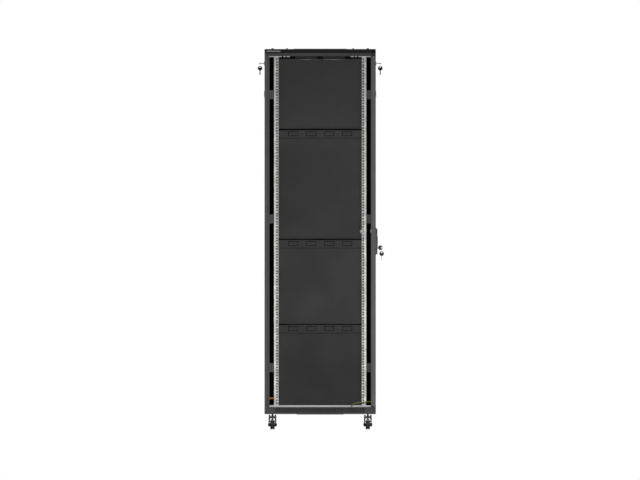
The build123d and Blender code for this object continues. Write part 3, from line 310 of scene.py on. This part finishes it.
# %% Paint the frame
FINISHES = {
    "black_frame": frame_coat,
    "black_panel": panel_coat,
    "dark_trim": trim_coat,
    "galvanised": rail_zinc,
    "zinc": bright_zinc,
    "black_plastic": grained_abs,
    "rubber": epdm,
    "wheel_plastic": nylon,
    "glass": door_glass,
    "key_metal": nickel,
    "brass": brass,
    "earth_green": green_pvc,
}
slot_of = {part["node"]: part["material_slot"] for part in frame["record"]["subparts"]}
for node_name, node_object in frame["nodes"].items():
    node_object.data.materials.clear()
    node_object.data.materials.append(FINISHES[slot_of[node_name]])
for node_name in frame["nodes"]:
    if node_name.startswith("caster_fork") or node_name in ("caster_stems", "frame_bolts"):
        frame["nodes"][node_name].data.materials[0] = black_zinc
# The rear handle hub sits deep in shade, and its near-white zinc is painted light.
frame["nodes"]["rear_handle_hub"].data.materials[0] = zinc_painted_bright
print("painted", len(slot_of), "nodes")

# %% [markdown]
# The cabinet stands on a pale floor at the height where the wheels touch. The backdrop is plain
# white, but the room around lights the cabinet with about a quarter of that, as a studio's grey
# walls do, because an all-white room would wash out black paint. Soft lamps give the steel its edges.
# The colours are shown as they are mixed, with no film curve over them.

# %% Floor, room and lamps
FLOOR_HALF = 15
FLOOR_MOTTLE_MM = 900
ROOM_LIGHT = 0.28
floor_mesh = bmesh.new()
wheel_foot = min(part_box(n)[0].z for n in frame["nodes"] if n.startswith("wheel_"))
bmesh.ops.create_grid(
    floor_mesh,
    x_segments=1,
    y_segments=1,
    size=FLOOR_HALF,
    matrix=Matrix.Translation((0, 0, wheel_foot)),
)
floor_data = bpy.data.meshes.new("floor")
floor_mesh.to_mesh(floor_data)
floor_mesh.free()
floor = bpy.data.objects.new("floor", floor_data)
bpy.context.scene.collection.objects.link(floor)
floor_paint, tree, place = blank_material("pale_studio_floor")
mottle = add_node(
    tree, "ShaderNodeTexNoise", {"Scale": cells_per_metre(FLOOR_MOTTLE_MM), "Detail": 4.0}, {"Vector": place}
)
pale = add_node(tree, "ShaderNodeValToRGB", links={"Fac": mottle.outputs["Fac"]})
pale.color_ramp.elements[0].color = linear("#ececec")
pale.color_ramp.elements[1].color = linear("#f4f4f3")
shade(tree, {"Roughness": 0.8}, {"Base Color": pale.outputs["Color"]})
floor_data.materials.append(floor_paint)

room = bpy.data.worlds.new("white_backdrop_grey_room")
room.use_nodes = True
sky = room.node_tree
sky.nodes.clear()
backdrop = add_node(sky, "ShaderNodeBackground", {"Color": linear("#ffffff"), "Strength": 1.0})
walls = add_node(sky, "ShaderNodeBackground", {"Color": linear("#ffffff"), "Strength": ROOM_LIGHT})
seen = add_node(sky, "ShaderNodeLightPath")
both = add_node(sky, "ShaderNodeMixShader")
sky.links.new(seen.outputs["Is Camera Ray"], both.inputs[0])
sky.links.new(walls.outputs["Background"], both.inputs[1])
sky.links.new(backdrop.outputs["Background"], both.inputs[2])
add_node(sky, "ShaderNodeOutputWorld", links={"Surface": both.outputs["Shader"]})
bpy.context.scene.world = room
bpy.context.scene.view_settings.view_transform = "Standard"


def soft_lamp(name, place_at, aim_at, size, watts):
    lamp_data = bpy.data.lights.new(name, "AREA")
    lamp_data.shape = "SQUARE"
    lamp_data.size = size
    lamp_data.energy = watts
    lamp = bpy.data.objects.new(name, lamp_data)
    lamp.location = place_at
    lamp.rotation_euler = (Vector(aim_at) - Vector(place_at)).to_track_quat("-Z", "Y").to_euler()
    bpy.context.scene.collection.objects.link(lamp)


LAMPS = [  # name, place, aim, side in metres, watts
    ("front_lamp", (0.1, -6.3, 0.35), (0, 0, 0.7), 0.7, 84),
    ("left_lamp", (-3.4, -4.6, 3.0), (0, 0, 0.8), 2.4, 40),
    ("right_lamp", (3.6, -3.6, 2.2), (0, 0, 0.8), 2.4, 40),
    ("back_lamp", (1.5, 5.5, 3.2), (0, 0, 1.0), 2.4, 160),
    ("ceiling_lamp", (0.3, 0.4, 7.5), (0, 0, 0), 5.0, 480),
]
for lamp_values in LAMPS:
    soft_lamp(*lamp_values)
print("floor top at", round(wheel_foot, 4), "m, lamps:", len(LAMPS))

# %% [markdown]
# Small helpers finish every new piece the same way: the shape becomes a mesh with outward faces and
# crisp edges, takes its materials, and rides on the part of the cabinet that it moves with. Its
# place is in its mesh, like a ready-made part's, so a pattern stays where it belongs.

# %% Finishing helpers
SHARP_ANGLE = math.radians(35)
SAME_POINT = 0.00001
LONG_EDGE = 0.1


def finish_piece(shape, name, body, slot_name, *materials):
    bmesh.ops.remove_doubles(shape, verts=shape.verts, dist=SAME_POINT)
    bmesh.ops.recalc_face_normals(shape, faces=shape.faces)
    for face in shape.faces:
        face.smooth = True
    mesh = bpy.data.meshes.new(name)
    shape.to_mesh(mesh)
    shape.free()
    mesh.set_sharp_from_angle(angle=SHARP_ANGLE)
    for material in materials:
        mesh.materials.append(material)
    piece = bpy.data.objects.new(name, mesh)
    bpy.context.scene.collection.objects.link(piece)
    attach(piece, body)
    return piece


def round_edges(shape, edges, radius, segments=2):
    bmesh.ops.bevel(
        shape,
        geom=list(edges),
        offset=radius,
        offset_type="OFFSET",
        affect="EDGES",
        segments=segments,
        profile=0.5,
        material=-1,
    )


def sharp_edges(shape, angle=30):
    folded = [e for e in shape.edges if len(e.link_faces) == 2]
    return [e for e in folded if e.calc_face_angle(0) > math.radians(angle)]


def long_edges(shape):
    return [e for e in shape.edges if e.calc_length() > LONG_EDGE]


def add_block(shape, low, high):
    """Add a block between two corners and return its vertices."""
    low, high = Vector(low), Vector(high)
    made = bmesh.ops.create_cube(shape, size=1.0)["verts"]
    bmesh.ops.scale(shape, vec=high - low, verts=made)
    bmesh.ops.translate(shape, vec=(low + high) / 2, verts=made)
    return made


def turned(shape, profile, centre, axis, steps=40):
    """Spin a closed profile of (radius, distance along the axis) pairs right round an axis."""
    axis = Vector(axis).normalized()
    across = axis.orthogonal().normalized()
    ring = [shape.verts.new(Vector(centre) + across * r + axis * along) for r, along in profile]
    edges = [shape.edges.new((a, b)) for a, b in zip(ring, ring[1:] + ring[:1])]
    bmesh.ops.spin(
        shape, geom=ring + edges, cent=centre, axis=axis, angle=math.tau, steps=steps, use_merge=True
    )


print("every piece is finished with edges sharper than", round(math.degrees(SHARP_ANGLE)), "degrees")

# %% [markdown]
# A green and yellow earth lead joins the open door to the base, because hinges alone don't make a
# sure electrical path. It is a real flexible wire, so it is drawn on one smooth curve through a
# listed route. The route is read back from the curve, and the sheath is the same curve with a round
# section, with every fourth strip of it in yellow.

# %% Earth lead
LEAD_WIDTH = 4 * MM
LEAD_ROUTE = [
    (0.169, -0.366, 0.047),
    (0.181, -0.370, 0.057),
    (0.204, -0.379, 0.0625),
    (0.231, -0.396, 0.065),
    (0.256, -0.419, 0.0675),
    (0.275, -0.441, 0.0665),
    (0.284, -0.462, 0.0655),
]
lead_curve = bpy.data.curves.new("earth_lead_route", "CURVE")
lead_curve.dimensions = "3D"
lead_line = lead_curve.splines.new("NURBS")
lead_line.points.add(len(LEAD_ROUTE) - 1)
for point, corner in zip(lead_line.points, LEAD_ROUTE):
    point.co = (*corner, 1.0)
lead_line.order_u = 3
lead_line.use_endpoint_u = True
lead_line.resolution_u = 10
lead_maker = bpy.data.objects.new("earth_lead_route", lead_curve)
bpy.context.scene.collection.objects.link(lead_maker)
lead_path = [v.co.copy() for v in bpy.data.meshes.new_from_object(lead_maker).vertices]
lead_curve.bevel_depth = LEAD_WIDTH / 2
lead_curve.bevel_resolution = 4
lead_curve.use_fill_caps = True
lead_mesh = bpy.data.meshes.new_from_object(lead_maker)
bpy.data.objects.remove(lead_maker)
lead = bpy.data.objects.new("earth_lead_sheath", lead_mesh)
bpy.context.scene.collection.objects.link(lead)
lead_mesh.materials.append(green_pvc)
lead_mesh.materials.append(yellow_pvc)
strips_round = round(len(lead_mesh.vertices) / len(lead_path))
for face in lead_mesh.polygons:
    face.use_smooth = True
    face.material_index = int(face.index % strips_round % 4 == 0)
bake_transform(lead)
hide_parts("earth_lead")
runs = sum((b - a).length for a, b in zip(lead_path, lead_path[1:]))
print("lead on its curve:", round(runs * 1000, 1), "mm,", strips_round, "strips round")

# %% [markdown]
# Each end of the lead is crimped into a plated ring lug. The ring and the barrel are turned
# profiles, one spun round the stud and the other round the lead.

# %% Lugs on the lead
LUG_BORE, LUG_RADIUS, LUG_HALF_THICK = 2.6 * MM, 5.2 * MM, 0.5 * MM
BARREL_BORE, BARREL_RADIUS, BARREL_LONG = 2.05 * MM, 2.7 * MM, 7.4 * MM
BARREL_EASE = 0.4 * MM
BARREL_START = 4 * MM
LUG_UNDER_LEAD = 1.5 * MM


def ring_lug(name, body, stud_at, out, towards):
    """A lug at stud_at whose flat ring faces out and whose barrel points along the lead."""
    stud_at, out, towards = Vector(stud_at), Vector(out), Vector(towards).normalized()
    shape = bmesh.new()
    ring = [
        (LUG_BORE, -LUG_HALF_THICK),
        (LUG_RADIUS, -LUG_HALF_THICK),
        (LUG_RADIUS, LUG_HALF_THICK),
        (LUG_BORE, LUG_HALF_THICK),
    ]
    turned(shape, ring, stud_at, out, steps=28)
    barrel = [
        (BARREL_BORE, 0),
        (BARREL_RADIUS, BARREL_EASE),
        (BARREL_RADIUS, BARREL_LONG - BARREL_EASE),
        (BARREL_BORE, BARREL_LONG),
    ]
    turned(shape, barrel, stud_at + towards * BARREL_START, towards, steps=20)
    return finish_piece(shape, name, body, "zinc", nickel)


lead_start, lead_finish = Vector(LEAD_ROUTE[0]), Vector(LEAD_ROUTE[-1])
base_seat = lead_start - Vector((0, 0, LUG_UNDER_LEAD))
leaving, arriving = lead_path[4] - lead_path[0], lead_path[-5] - lead_path[-1]
base_lug = ring_lug("base_earth_lug", "root", base_seat, (0, 0, 1), leaving)
door_lug = ring_lug("door_earth_lug", "front_door", lead_finish, (1, 0, 0), arriving)
print("lugs:", base_lug.name, door_lug.name)

# %% [markdown]
# The casters carry twin-tread nylon wheels. A wheel is a body of revolution, so its section is
# drawn once and spun round the axle: two treads with a groove between, dished sides, and a long hub
# that keeps it clear of the fork.

# %% Wheels
TREAD_HALF_GAP = 1.2 * MM
TREAD_HALF_WIDTH = 11.5 * MM
AXLE_BORE = 4.05 * MM
HUB_RADIUS = 9 * MM
DISH_SUNK = 3 * MM
DISH = (9.5 * MM, 19.5 * MM)  # inner and outer radius of the dished side


def caster_wheel(corner):
    low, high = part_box(f"wheel_{corner}")
    axle = (low + high) / 2
    rim, hub = (high.z - low.z) / 2, (high.x - low.x) / 2
    tread = TREAD_HALF_WIDTH
    half = [
        (AXLE_BORE, hub),
        (HUB_RADIUS, hub),
        (DISH[0], tread - DISH_SUNK),
        (DISH[1], tread - DISH_SUNK),
        (DISH[1] + 1 * MM, tread),
        (rim - 3 * MM, tread),
        (rim - 1.2 * MM, tread - 0.8 * MM),
        (rim - 0.2 * MM, tread - 2.2 * MM),
        (rim, tread - 3.4 * MM),
        (rim, TREAD_HALF_GAP + 1.5 * MM),
        (rim - 0.8 * MM, TREAD_HALF_GAP + 0.3 * MM),
        (rim - 3.5 * MM, TREAD_HALF_GAP),
    ]
    shape = bmesh.new()
    turned(shape, half + [(r, -x) for r, x in reversed(half)], axle, (1, 0, 0), steps=64)
    name, body = f"twin_tread_wheel_{corner}", f"roller_{corner}"
    wheel = finish_piece(shape, name, body, "wheel_plastic", nylon, grey_nylon)
    for face in wheel.data.polygons:
        face.material_index = int(abs(face.center.x - axle.x) < TREAD_HALF_GAP)
    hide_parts(f"wheel_{corner}")
    return wheel


CORNERS = ("front_left", "front_right", "rear_left", "rear_right")
wheels = [caster_wheel(corner) for corner in CORNERS]
print("wheels:", len(wheels), "of", len(wheels[0].data.polygons), "faces")

# %% [markdown]
# The swivel plate of each fork is pressed with two raised ears, which shield the ball race from
# dust, and a rib in each corner below stiffens its legs. Ears and ribs are blocks with one edge
# pushed outwards and their corners rounded.

# %% Ears on the casters
CROWN_THICK = 8.3 * MM
STEM_FROM_MIDDLE = 0.365  # metres, front to back
HALF_LONG = 13 * MM  # half the length of an ear or a rib
EAR_FOOT = (10 * MM, 19 * MM)  # inner and outer side, from the stem's middle
EAR_TALL = 10.2 * MM
EAR_SUNK = 1 * MM
EAR_LEAN = 2 * MM
EAR_THINS = 1.5 * MM
EAR_NARROWS = 0.72
RIB_SPAN = (9.5 * MM, 14.2 * MM)  # inner and outer side, from the stem's middle
RIB_TALL = 9 * MM
RIB_INTO_CROWN = 0.2 * MM
RIB_SLOPE = 4 * MM


def caster_ears(corner):
    low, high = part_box(f"caster_fork_{corner}")
    stem_y = math.copysign(STEM_FROM_MIDDLE, (low.y + high.y) / 2)
    middle = (low.x + high.x) / 2
    crown_foot = high.z - CROWN_THICK
    shape = bmesh.new()
    for hand in (-1, 1):
        across = sorted((middle + hand * EAR_FOOT[0], middle + hand * EAR_FOOT[1]))
        ear = add_block(
            shape,
            (across[0], stem_y - HALF_LONG, high.z - EAR_SUNK),
            (across[1], stem_y + HALF_LONG, high.z + EAR_TALL),
        )
        top = [v for v in ear if v.co.z > high.z]
        inner = [v for v in top if abs(v.co.x - middle) < sum(EAR_FOOT) / 2]
        bmesh.ops.translate(shape, vec=(hand * EAR_LEAN, 0, 0), verts=top)
        bmesh.ops.translate(shape, vec=(hand * EAR_THINS, 0, 0), verts=inner)
        bmesh.ops.scale(
            shape, vec=(1, EAR_NARROWS, 1), verts=top, space=Matrix.Translation((0, -stem_y, 0))
        )
        across = sorted((middle + hand * RIB_SPAN[0], middle + hand * RIB_SPAN[1]))
        rib = add_block(
            shape,
            (across[0], stem_y - HALF_LONG, crown_foot - RIB_TALL),
            (across[1], stem_y + HALF_LONG, crown_foot + RIB_INTO_CROWN),
        )
        toe = [
            v for v in rib if v.co.z < crown_foot and abs(v.co.x - middle) < sum(RIB_SPAN) / 2
        ]
        bmesh.ops.translate(shape, vec=(hand * RIB_SLOPE, 0, 0), verts=toe)
    round_edges(shape, sharp_edges(shape), 0.6 * MM)
    return finish_piece(shape, f"caster_ears_{corner}", f"caster_{corner}", "zinc", black_zinc)


ears = [caster_ears(corner) for corner in CORNERS]
print("ears on", len(ears), "casters")

# %% [markdown]
# The keys are stamped from nickel-plated brass, and a black plastic bow is moulded over each head.
# The bow is two circles bridged into a flat ring, the hole off-centre, thickened and rounded.

# %% Key bows
BOW_RADIUS = 12.5 * MM
BOW_HOLE = 4.0 * MM
BOW_THICK = 3.6 * MM
HOLE_OUT = 7 * MM
HEAD_RADIUS = 12 * MM


def key_bow(name, body, centre, flat, hole_way):
    """A bow whose flat sides face along flat and whose hole lies off the centre along hole_way."""
    centre, flat, hole_way = Vector(centre), Vector(flat), Vector(hole_way)
    turn = Matrix((hole_way.cross(flat), hole_way, flat)).transposed().to_4x4()
    shape = bmesh.new()
    start = Matrix.Translation(centre - flat * BOW_THICK / 2) @ turn
    bmesh.ops.create_circle(shape, cap_ends=False, segments=40, radius=BOW_RADIUS, matrix=start)
    hole_at = start @ Matrix.Translation((0, HOLE_OUT, 0))
    bmesh.ops.create_circle(shape, cap_ends=False, segments=40, radius=BOW_HOLE, matrix=hole_at)
    bmesh.ops.bridge_loops(shape, edges=shape.edges[:])
    lifted = bmesh.ops.extrude_face_region(shape, geom=shape.faces[:])["geom"]
    bmesh.ops.translate(
        shape, vec=flat * BOW_THICK, verts=[v for v in lifted if isinstance(v, bmesh.types.BMVert)]
    )
    bmesh.ops.recalc_face_normals(shape, faces=shape.faces)
    round_edges(shape, sharp_edges(shape, 50), 0.9 * MM, segments=3)
    return finish_piece(shape, name, body, "black_plastic", grained_abs)


def bow_in_lock(node, lock_node, body, flat, out):
    """A bow on a key that stands in its lock: its head is the round end of the key."""
    low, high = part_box(lock_node)
    centre = (low + high) / 2
    low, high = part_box(node)
    centre.x = high.x - HEAD_RADIUS if out > 0 else low.x + HEAD_RADIUS
    return key_bow(f"{node}_bow", body, centre, flat, (out, 0, 0))


bow_in_lock("front_key", "front_key", "front_key_body", (0, 1, 0), 1)
bow_in_lock("left_key", "left_lock_barrel", "left_lock", (0, 0, 1), -1)
bow_in_lock("right_key", "right_lock_barrel", "right_lock", (0, 0, 1), 1)
SPARE_HEAD_ABOVE_TIP = 35 * MM
for body in ("front_spare", "left_spare", "right_spare"):
    node = f"{body}_key"
    low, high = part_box(node)
    middle = (low + high) / 2
    head = (middle.x, middle.y, low.z + SPARE_HEAD_ABOVE_TIP)
    key_bow(f"{node}_bow", body, head, (0, 1, 0), (0, 0, 1))
print("bows of", round(BOW_RADIUS * 2000), "mm on six keys")

# %% [markdown]
# A narrow satin aluminium plate sits in the recess at the left of the top trim. It is left blank.
# A block with its four corners rounded is enough, since the plate is stamped from thin strip.

# %% Blank name plate
satin_aluminium = plated_metal(
    "satin_anodised_aluminium", "#66686a", "#7a7c7e", roughness=0.4, patch_mm=20.0
)
trim_low, trim_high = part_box("front_fascia")
PLATE_X = (-290 * MM, -213 * MM)
PLATE_TALL = 5.0 * MM
PLATE_PROUD = 0.6 * MM
plate_middle = (trim_low.z + trim_high.z) / 2
plate = bmesh.new()
add_block(
    plate,
    (PLATE_X[0], trim_low.y - PLATE_PROUD, plate_middle - PLATE_TALL / 2),
    (PLATE_X[1], trim_low.y + PLATE_PROUD / 2, plate_middle + PLATE_TALL / 2),
)
round_edges(plate, [e for e in plate.edges if e.calc_length() < 2 * MM], 0.3 * MM)
finish_piece(plate, "blank_name_plate", "root", "zinc", satin_aluminium)
print("name plate:", round((PLATE_X[1] - PLATE_X[0]) * 1000), "mm long")

# %% [markdown]
# Each swing handle has a soft grip on its lever, with ribs for the fingers. The grip is a block
# with rounded edges, and the ribs are thin blocks laid across it.

# %% Grips on the handles
RIB_COUNT = 9
RIB_HALF = (7.5 * MM, 1 * MM)  # half of a rib's width and of its height
RIB_SPAN_OUT = (1.2 * MM, 2.1 * MM)  # back and front, out of the lever's face
PAD_HALF_WIDTH = 10 * MM
PAD_SPAN_OUT = (-0.2 * MM, 1.6 * MM)  # back and front, out of the lever's face
PAD_BELOW_TOP = (42 * MM, 96 * MM)  # its two ends, below the lever's top


def lever_grip(door, body, out, across):
    """A ribbed grip on the outer face of a lever; out points away from the door, across along it."""
    low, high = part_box(f"{door}_handle_lever")
    out, across = Vector(out), Vector(across)
    face = high.dot(out)
    middle = ((low + high) / 2).dot(across)
    top, foot = (high.z - drop for drop in PAD_BELOW_TOP)
    shape = bmesh.new()

    def span(half_width, from_face, to_face, from_z, to_z):
        ends = [
            across * (middle + hand * half_width) + out * (face + reach) + Vector((0, 0, z))
            for hand, reach, z in ((-1, from_face, from_z), (1, to_face, to_z))
        ]
        pairs = [sorted(pair) for pair in zip(*ends)]
        return add_block(shape, [p[0] for p in pairs], [p[1] for p in pairs])

    span(PAD_HALF_WIDTH, *PAD_SPAN_OUT, foot, top)
    round_edges(shape, sharp_edges(shape), 0.8 * MM, segments=3)
    pitch = (top - foot) / (RIB_COUNT + 1)
    for rib in range(1, RIB_COUNT + 1):
        height = foot + rib * pitch
        span(RIB_HALF[0], *RIB_SPAN_OUT, height - RIB_HALF[1], height + RIB_HALF[1])
    return finish_piece(shape, f"{door}_lever_grip", body, "black_plastic", epdm)


lever_grip("front", "front_lever", (1, 0, 0), (0, 1, 0))
lever_grip("rear", "rear_lever", (0, 1, 0), (1, 0, 0))
print("ribs on each grip:", RIB_COUNT)

# %% [markdown]
# The rails are held at head and foot by cross-recessed pan-head screws. A screw head is a turned
# dome, and its cross is two thin dark blocks sunk into it, painted shade as dark as a real recess looks.

# %% Rail screws
HEAD_R = 4.2 * MM
HEAD_PROFILE = [  # radius and height from the seat
    (0.02 * MM, -0.4 * MM),
    (HEAD_R, -0.4 * MM),
    (HEAD_R, 0.9 * MM),
    (HEAD_R * 0.86, 1.7 * MM),
    (HEAD_R * 0.5, 2.3 * MM),
    (0.02 * MM, 2.5 * MM),
]
CROSS_ARM = (2.1 * MM, 0.5 * MM)  # half its length and half its width
CROSS_HALF_DEEP = 0.4 * MM
CROSS_OUT = 2.3 * MM
SCREW_FROM_EDGE = 5 * MM
SCREW_FROM_END = 7 * MM
# A near-black with no sheen: painted shade, for recesses and slots that show only as shade.
painted_shade_black = moulded("painted_shade_near_black", "#060606", "#0c0c0c", 2.0, 0.8, gloss=0.1)


def cross_recess(shape, at, out):
    at, out = Vector(at), Vector(out)
    sideways = Vector((0, 0, 1)).cross(out)
    middle = at + out * CROSS_OUT
    for along, over in (CROSS_ARM, CROSS_ARM[::-1]):
        corner = sideways * along + Vector((0, 0, over)) + out * CROSS_HALF_DEEP
        pairs = [sorted(pair) for pair in zip(middle - corner, middle + corner)]
        add_block(shape, [p[0] for p in pairs], [p[1] for p in pairs])


heads, recesses = bmesh.new(), bmesh.new()
screw_places = []
for end, out in (("front", -1), ("rear", 1)):
    for side_name, side in (("left", -1), ("right", 1)):
        rail = f"rail_{end}_{side_name}"
        low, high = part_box(rail)
        across = side * (max(abs(low.x), abs(high.x)) - SCREW_FROM_EDGE)
        face_y = low.y if out < 0 else high.y
        for height in (low.z + SCREW_FROM_END, high.z - SCREW_FROM_END):
            screw_places.append(((across, face_y, height), (0, out, 0)))
for at, out in screw_places:
    turned(heads, HEAD_PROFILE, Vector(at), Vector(out), steps=24)
    cross_recess(recesses, at, out)
finish_piece(heads, "rail_screw_heads", "root", "zinc", bright_zinc)
finish_piece(recesses, "rail_screw_recesses", "root", "black_plastic", painted_shade_black)
print("rail screws:", len(screw_places))

# %% [markdown]
# Strips of black foam close the space between each rear rail and its column, so that the air a
# machine has warmed can't come round to its front again. The strips stop at the side braces. They
# are thin blocks with their long edges eased, because cut foam never has a sharp edge.

# %% Air baffles
foam = moulded("cut_foam", "#0a0a0a", "#131313", 3.0, 0.9, gloss=0.05, depth=0.0004)
BRACE_MIDDLES = (0.251, 1.052, 1.722)
BRACE_HALF = 24 * MM
COLUMN_IN = 273 * MM
BAFFLE_GAP = 0.5 * MM
BAFFLE_THICK = 6 * MM
BAFFLE_INSET = 8 * MM  # its front, ahead of the rail's rear face
baffles = 0
for side_name, side in (("left", -1), ("right", 1)):
    rail_low, rail_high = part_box(f"rail_rear_{side_name}")
    rail_out = max(abs(rail_low.x), abs(rail_high.x))
    across = sorted((side * COLUMN_IN, side * (rail_out + BAFFLE_GAP)))
    baffle_y = rail_high.y - BAFFLE_INSET
    stops = [rail_low.z]
    for middle in BRACE_MIDDLES:
        stops += [middle - BRACE_HALF, middle + BRACE_HALF]
    stops.append(rail_high.z)
    shape = bmesh.new()
    for foot, top in zip(stops[::2], stops[1::2]):
        add_block(
            shape,
            (across[0], baffle_y, foot + BAFFLE_GAP),
            (across[1], baffle_y + BAFFLE_THICK, top - BAFFLE_GAP),
        )
        baffles += 1
    round_edges(shape, long_edges(shape), 1 * MM)
    finish_piece(shape, f"air_baffles_{side_name}", "root", "rubber", foam)
print("air baffles:", baffles)

# %% [markdown]
# The rear door stops a few millimetres short of the top beam, and daylight would show through the
# slit. A foam strip under the beam closes it, just inside the door, and its lower edge is eased.

# %% Strip above the rear door
STRIP_TALL = 14 * MM
STRIP_FROM_BACK = (38 * MM, 29 * MM)  # its front and rear, ahead of the beam's rear face
beam_low, beam_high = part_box("top_rear_beam")
shape = bmesh.new()
add_block(
    shape,
    (-COLUMN_IN + BAFFLE_GAP, beam_high.y - STRIP_FROM_BACK[0], beam_low.z - STRIP_TALL),
    (COLUMN_IN - BAFFLE_GAP, beam_high.y - STRIP_FROM_BACK[1], beam_low.z),
)
round_edges(shape, long_edges(shape), 1.5 * MM)
finish_piece(shape, "rear_door_foam_strip", "root", "rubber", foam)
print("foam strip:", round(2 * COLUMN_IN * 1000), "mm long")

# %% [markdown]
# Inside the rear door, each stiffener has a dark line along both edges, painted shadow for the gap at
# each edge, and carries four knockouts whose outlines are punched slots, drawn dark as painted shade.
# Seen from the front these are the dark lines across the door. Thin blocks half a millimetre proud of
# the steel draw them.

# %% Painted shadow lines and knockout slots on the stiffeners
band_low, band_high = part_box("rear_door_stiffeners")
BAND_MIDDLES = (0.461, 0.919, 1.511)
BAND_HALF = 25 * MM
KNOCKOUT_PITCH = 97 * MM
KNOCKOUT_X = [(n - 1.5) * KNOCKOUT_PITCH for n in range(4)]
KNOCKOUT_HALF = (27 * MM, 12 * MM)
SLOT_WIDE = 2.6 * MM
SHADOW_LINE_END = 2 * MM
SHADOW_LINE_EDGE = 0.2 * MM  # bare steel outside each painted shadow line
SHADOW_LINE_TALL = (5.3 * MM, 2 * MM)  # upper and lower painted shadow line
PROUD = 0.5 * MM
SUNK = 0.3 * MM
proud = (band_low.y - PROUD, band_low.y + SUNK)
shadow_lines = bmesh.new()


def dark_line(x_span, z_span):
    add_block(shadow_lines, (x_span[0], proud[0], z_span[0]), (x_span[1], proud[1], z_span[1]))


# Painted shadow: a thick dark line along each stiffener's top edge, a thin one at its foot, and painted
# shade in the slots round each knockout.
for middle in BAND_MIDDLES:
    full = (band_low.x + SHADOW_LINE_END, band_high.x - SHADOW_LINE_END)
    upper, lower = middle + BAND_HALF - SHADOW_LINE_EDGE, middle - BAND_HALF + SHADOW_LINE_EDGE
    dark_line(full, (upper - SHADOW_LINE_TALL[0], upper))
    dark_line(full, (lower, lower + SHADOW_LINE_TALL[1]))
    for across in KNOCKOUT_X:
        wide, tall = KNOCKOUT_HALF
        for hand in (-1, 1):
            edge = across + hand * wide
            dark_line(sorted((edge, edge - hand * SLOT_WIDE)), (middle - tall, middle + tall))
            rim = middle + hand * tall
            dark_line((across - wide, across + wide), sorted((rim, rim - hand * SLOT_WIDE)))
finish_piece(shadow_lines, "stiffener_painted_shadow_lines", "rear_door_body", "black_panel", painted_shade_black)
print("knockouts outlined:", len(BAND_MIDDLES) * len(KNOCKOUT_X))

# %% [markdown]
# The earthing point on the left column is a brass stud with a washer and a six-sided nut. Both are
# made as short cones with equal ends, of many sides and of six, set on the stud's own line.

# %% Earthing nut
STUD_LINE = (-350 * MM, 85 * MM)
NUT_R = 7.5 * MM
WASHER_R = 9 * MM
WASHER_X = (-264 * MM, -262.4 * MM)
NUT_END = -255.9 * MM


def disc_on_stud(shape, sides, radius, x_low, x_high):
    along_x = Matrix.Rotation(math.radians(90), 4, "Y")
    bmesh.ops.create_cone(
        shape,
        cap_ends=True,
        segments=sides,
        radius1=radius,
        radius2=radius,
        depth=x_high - x_low,
        matrix=Matrix.Translation(((x_low + x_high) / 2, *STUD_LINE)) @ along_x,
    )


nut = bmesh.new()
disc_on_stud(nut, 32, WASHER_R, *WASHER_X)
disc_on_stud(nut, 6, NUT_R, WASHER_X[1], NUT_END)
round_edges(nut, sharp_edges(nut), 0.5 * MM)
finish_piece(nut, "earthing_nut", "root", "brass", brass)
print("nut across corners:", round(NUT_R * 2000), "mm")
